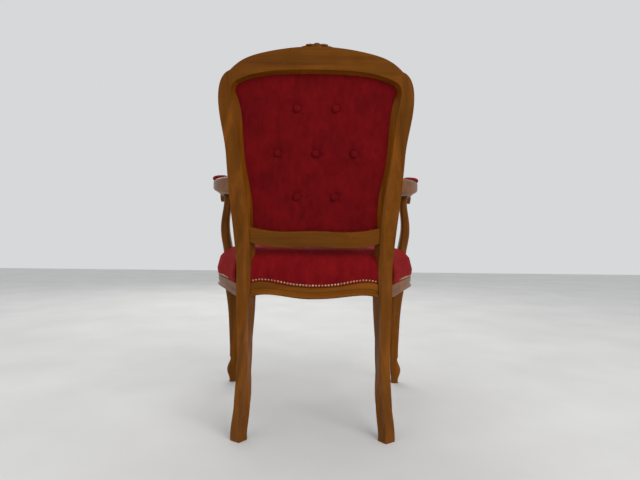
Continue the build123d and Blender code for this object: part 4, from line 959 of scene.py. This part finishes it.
class CHAIR_OT_arm_pads(bpy.types.Operator):
    """Upholsters the arms with long domed pads"""

    bl_idname = "chair.arm_pads"
    bl_label = "Arm Pads"

    # Along the arm: place from rear to front, middle across, top of the arm
    LINE = [
        (112.0, 264.5, 669.6), (85.0, 271.8, 673.8), (55.0, 277.4, 676.0), (25.0, 283.0, 677.0),
        (-10.0, 284.0, 676.2), (-45.0, 285.0, 675.0), (-58.0, 286.0, 673.6),
    ]
    # Lengths over which the rear and the front end are rounded
    REAR_ROUND = 26.0
    FRONT_ROUND = 22.0
    HALF_WIDTH = 23.5
    CROWN = 10.0
    ABOVE_ARM = 0.6
    UNEVEN = 0.5
    UNEVEN_SCALE = 60.0
    # Velvet less than this above the arm is held while the rest swells, by the cap at most
    HELD_HEIGHT = 1.5
    SWELL_CAP = 2.0

    def execute(self, context):
        for side, word in ((1, "left"), (-1, "right")):
            self.pad(side, word)
        return {"FINISHED"}

    def pad(self, side, word):
        """One pad: flat below, domed above and rounded at both ends."""
        along, middle, arm_top = np.array(self.LINE).T
        turns = turns_of(64)
        cosine = np.cos(turns)
        sine = np.sin(turns)
        upper = sine > 0
        rings = []
        for place in np.linspace(along[0], along[-1], 70):
            x = np.interp(-place, -along, middle)
            top = np.interp(-place, -along, arm_top)
            end = min(1.0, (along[0] - place) / self.REAR_ROUND, (place - along[-1]) / self.FRONT_ROUND)
            full = math.sqrt(max(1 - (1 - end) ** 2, 0.03))
            half = self.HALF_WIDTH * (0.72 + 0.28 * full)
            across = half * np.sign(cosine) * np.abs(cosine) ** 0.75
            across = np.where(upper, across, across * (1 - 0.14 * np.abs(sine) ** 0.3))
            high = np.where(upper, self.CROWN * full * np.abs(sine) ** 0.85, 0.0)
            level = np.full_like(across, place)
            uneven = self.UNEVEN * ripple(np.column_stack([across, level]), self.UNEVEN_SCALE, seed=33)
            uneven *= high > 2
            rings.append(np.column_stack([side * (x + across), level, top + self.ABOVE_ARM + high + uneven]))
        pad = rings_piece("arm_velvet_" + word, rings)
        points = places_of(pad.data) / MM
        arm_below = np.interp(-points[:, 1], -along, arm_top)
        plumped(pad, points[:, 2] < arm_below + self.HELD_HEIGHT, self.SWELL_CAP)
        finished(pad, material("seat_velvet"), "velvet", "arm_pad_" + word)


class CHAIR_OT_trim(bpy.types.Operator):
    """Gives the nails, springs, webbing and linings their finish"""

    bl_idname = "chair.trim"
    bl_label = "Nails and Inner Parts"

    # The sag of the dust cover, its middle along the chair and its half sizes, in metres
    SAG = 0.005
    SAG_MIDDLE = -0.05
    SAG_HALF_WIDTH = 0.2
    SAG_HALF_DEPTH = 0.21
    # Edges of the dust cover's mesh longer than these lengths in metres are halved, step by step
    EDGE_LENGTHS = (0.2, 0.1, 0.05, 0.025)

    def execute(self, context):
        dress("brass", "seat_nails", "back_pad_nails")
        dress("steel", "seat_springs", "seat_spring_clips")
        dress("hessian", "seat_hessian", "back_webbing", "back_tuft_twines")
        self.lining()
        return {"FINISHED"}

    def lining(self):
        """The dust cover under the seat, which sags a little between the rails."""
        work = bmesh.new()
        work.from_mesh(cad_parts["seat_dust_cover"].data)
        bmesh.ops.remove_doubles(work, verts=work.verts, dist=1e-5)
        area = sum(face.calc_area() for face in work.faces if face.normal.z > 0.9)
        for length in self.EDGE_LENGTHS:
            bmesh.ops.triangulate(work, faces=work.faces)
            long_edges = [edge for edge in work.edges if edge.calc_length() > length]
            bmesh.ops.subdivide_edges(work, edges=long_edges, cuts=1)
        bmesh.ops.triangulate(work, faces=work.faces)
        for vertex in work.verts:
            across = max(0.0, 1 - abs(vertex.co.x) / self.SAG_HALF_WIDTH)
            along = max(0.0, 1 - abs(vertex.co.y - self.SAG_MIDDLE) / self.SAG_HALF_DEPTH)
            vertex.co.z -= self.SAG * math.sqrt(across * along)
        mesh = bpy.data.meshes.new("dust_cover_lining")
        work.to_mesh(mesh)
        work.free()
        cover = placed("dust_cover_lining", mesh)
        finished(cover, material("lining"), "lining", "seat_dust_cover")


class CHAIR_OT_stage(bpy.types.Operator):
    """Sets the pale floor, the soft lights and the camera"""

    bl_idname = "chair.stage"
    bl_label = "Stage"

    # The camera: place in metres, turns in degrees, lens in millimetres, picture in pixels
    CAMERA = (-0.0053, 1.4675, 0.5045)
    YAW = -0.376
    PITCH = -0.116
    ROLL = 0.651
    LENS = 27.06
    SENSOR = 36.0
    PICTURE = (640, 480)
    # Soft lights: name, place and size in metres, power in watts, colour
    LAMPS = (
        ("window", (-1.9, 2.6, 2.3), 2.2, 60.0, (1.0, 0.97, 0.93)),
        ("fill", (2.3, 1.8, 1.6), 2.6, 10.0, (0.97, 0.98, 1.0)),
        ("far", (0.6, -2.6, 2.4), 2.4, 34.0, (1.0, 0.98, 0.95)),
    )
    LAMP_TARGET = (0.0, 0.05, 0.45)
    ROOM_COLOUR = (0.97, 0.98, 1.0)
    ROOM_STRENGTH = 0.7
    # The floor: half its size in metres, and its tones
    FLOOR_HALF = 6.0
    FLOOR_DARK = (0.62, 0.62, 0.61)
    FLOOR_PALE = (0.68, 0.68, 0.67)

    def execute(self, context):
        scene = context.scene
        self.floor()
        self.room(scene)
        for lamp in self.LAMPS:
            self.lamp(*lamp)
        self.camera(scene)
        scene.render.resolution_x, scene.render.resolution_y = self.PICTURE
        scene.view_settings.view_transform = "Standard"
        return {"FINISHED"}

    def floor(self):
        half = self.FLOOR_HALF
        corners = [(-half, -half, 0.0), (half, -half, 0.0), (half, half, 0.0), (-half, half, 0.0)]
        mesh = bpy.data.meshes.new("floor")
        mesh.from_pydata(corners, [], [(0, 1, 2, 3)])
        floor = placed("floor", mesh)
        shader = Shader("pale_floor", Roughness=0.7)
        clouds = shader.noise(shader.place(), 3.0, detail=4.0)
        low, high = NOISE_SPAN
        colour = shader.ramp(clouds, (low, toned(self.FLOOR_DARK)), (high, toned(self.FLOOR_PALE)))
        shader.feed("Base Color", colour)
        mesh.materials.append(shader.material)

    def room(self, scene):
        world = bpy.data.worlds.new("room")
        world.use_nodes = True
        background = world.node_tree.nodes["Background"]
        background.inputs["Color"].default_value = toned(self.ROOM_COLOUR)
        background.inputs["Strength"].default_value = self.ROOM_STRENGTH
        scene.world = world

    def lamp(self, name, place, size, power, colour):
        light = bpy.data.lights.new(name, "AREA")
        light.size = size
        light.energy = power
        light.color = colour
        lamp = bpy.data.objects.new(name, light)
        lamp.location = place
        lamp.rotation_euler = (Vector(self.LAMP_TARGET) - Vector(place)).to_track_quat("-Z", "Y").to_euler()
        bpy.context.scene.collection.objects.link(lamp)

    def camera(self, scene):
        """A camera turned from level by its yaw, then its pitch, then its roll."""
        lens = bpy.data.cameras.new("camera")
        lens.lens = self.LENS
        lens.sensor_width = self.SENSOR
        camera = bpy.data.objects.new("camera", lens)
        yaw, pitch, roll = (math.radians(angle) for angle in (self.YAW, self.PITCH, self.ROLL))
        level = Vector((math.sin(yaw), -math.cos(yaw), 0.0))
        right = Vector((-math.cos(yaw), -math.sin(yaw), 0.0))
        up = Vector((0.0, 0.0, 1.0))
        ahead = level * math.cos(pitch) + up * math.sin(pitch)
        above = up * math.cos(pitch) - level * math.sin(pitch)
        side = right * math.cos(roll) + above * math.sin(roll)
        top = above * math.cos(roll) - right * math.sin(roll)
        turn = Matrix((side, top, -ahead)).transposed().to_4x4()
        camera.matrix_world = Matrix.Translation(self.CAMERA) @ turn
        scene.collection.objects.link(camera)
        scene.camera = camera


OPERATORS = (
    CHAIR_OT_frame,
    CHAIR_OT_carving,
    CHAIR_OT_seat,
    CHAIR_OT_back_front,
    CHAIR_OT_back_rear,
    CHAIR_OT_buttons,
    CHAIR_OT_arm_pads,
    CHAIR_OT_trim,
    CHAIR_OT_stage,
)


class CHAIR_PT_panel(bpy.types.Panel):
    """Lists the chair's finishes and the steps that make it"""

    bl_idname = "CHAIR_PT_panel"
    bl_label = "Armchair"
    bl_space_type = "VIEW_3D"
    bl_region_type = "UI"
    bl_category = "Armchair"

    def draw(self, context):
        finish = context.scene.chair_finish
        for name in ("wood", "plain_wood", "velvet", "velvet_bright", "brass", "seat_crown", "back_proud"):
            self.layout.prop(finish, name)
        for operator in OPERATORS:
            self.layout.operator(operator.bl_idname)


CLASSES = (ChairFinish,) + OPERATORS + (CHAIR_PT_panel,)


def register():
    for kind in CLASSES:
        bpy.utils.register_class(kind)
    bpy.types.Scene.chair_finish = bpy.props.PointerProperty(type=ChairFinish)


def unregister():
    del bpy.types.Scene.chair_finish
    for kind in reversed(CLASSES):
        bpy.utils.unregister_class(kind)


def main():
    register()
    for operator in OPERATORS:
        group, name = operator.bl_idname.split(".")
        getattr(getattr(bpy.ops, group), name)()
    bpy.context.view_layer.update()


if __name__ == "__main__":
    main()
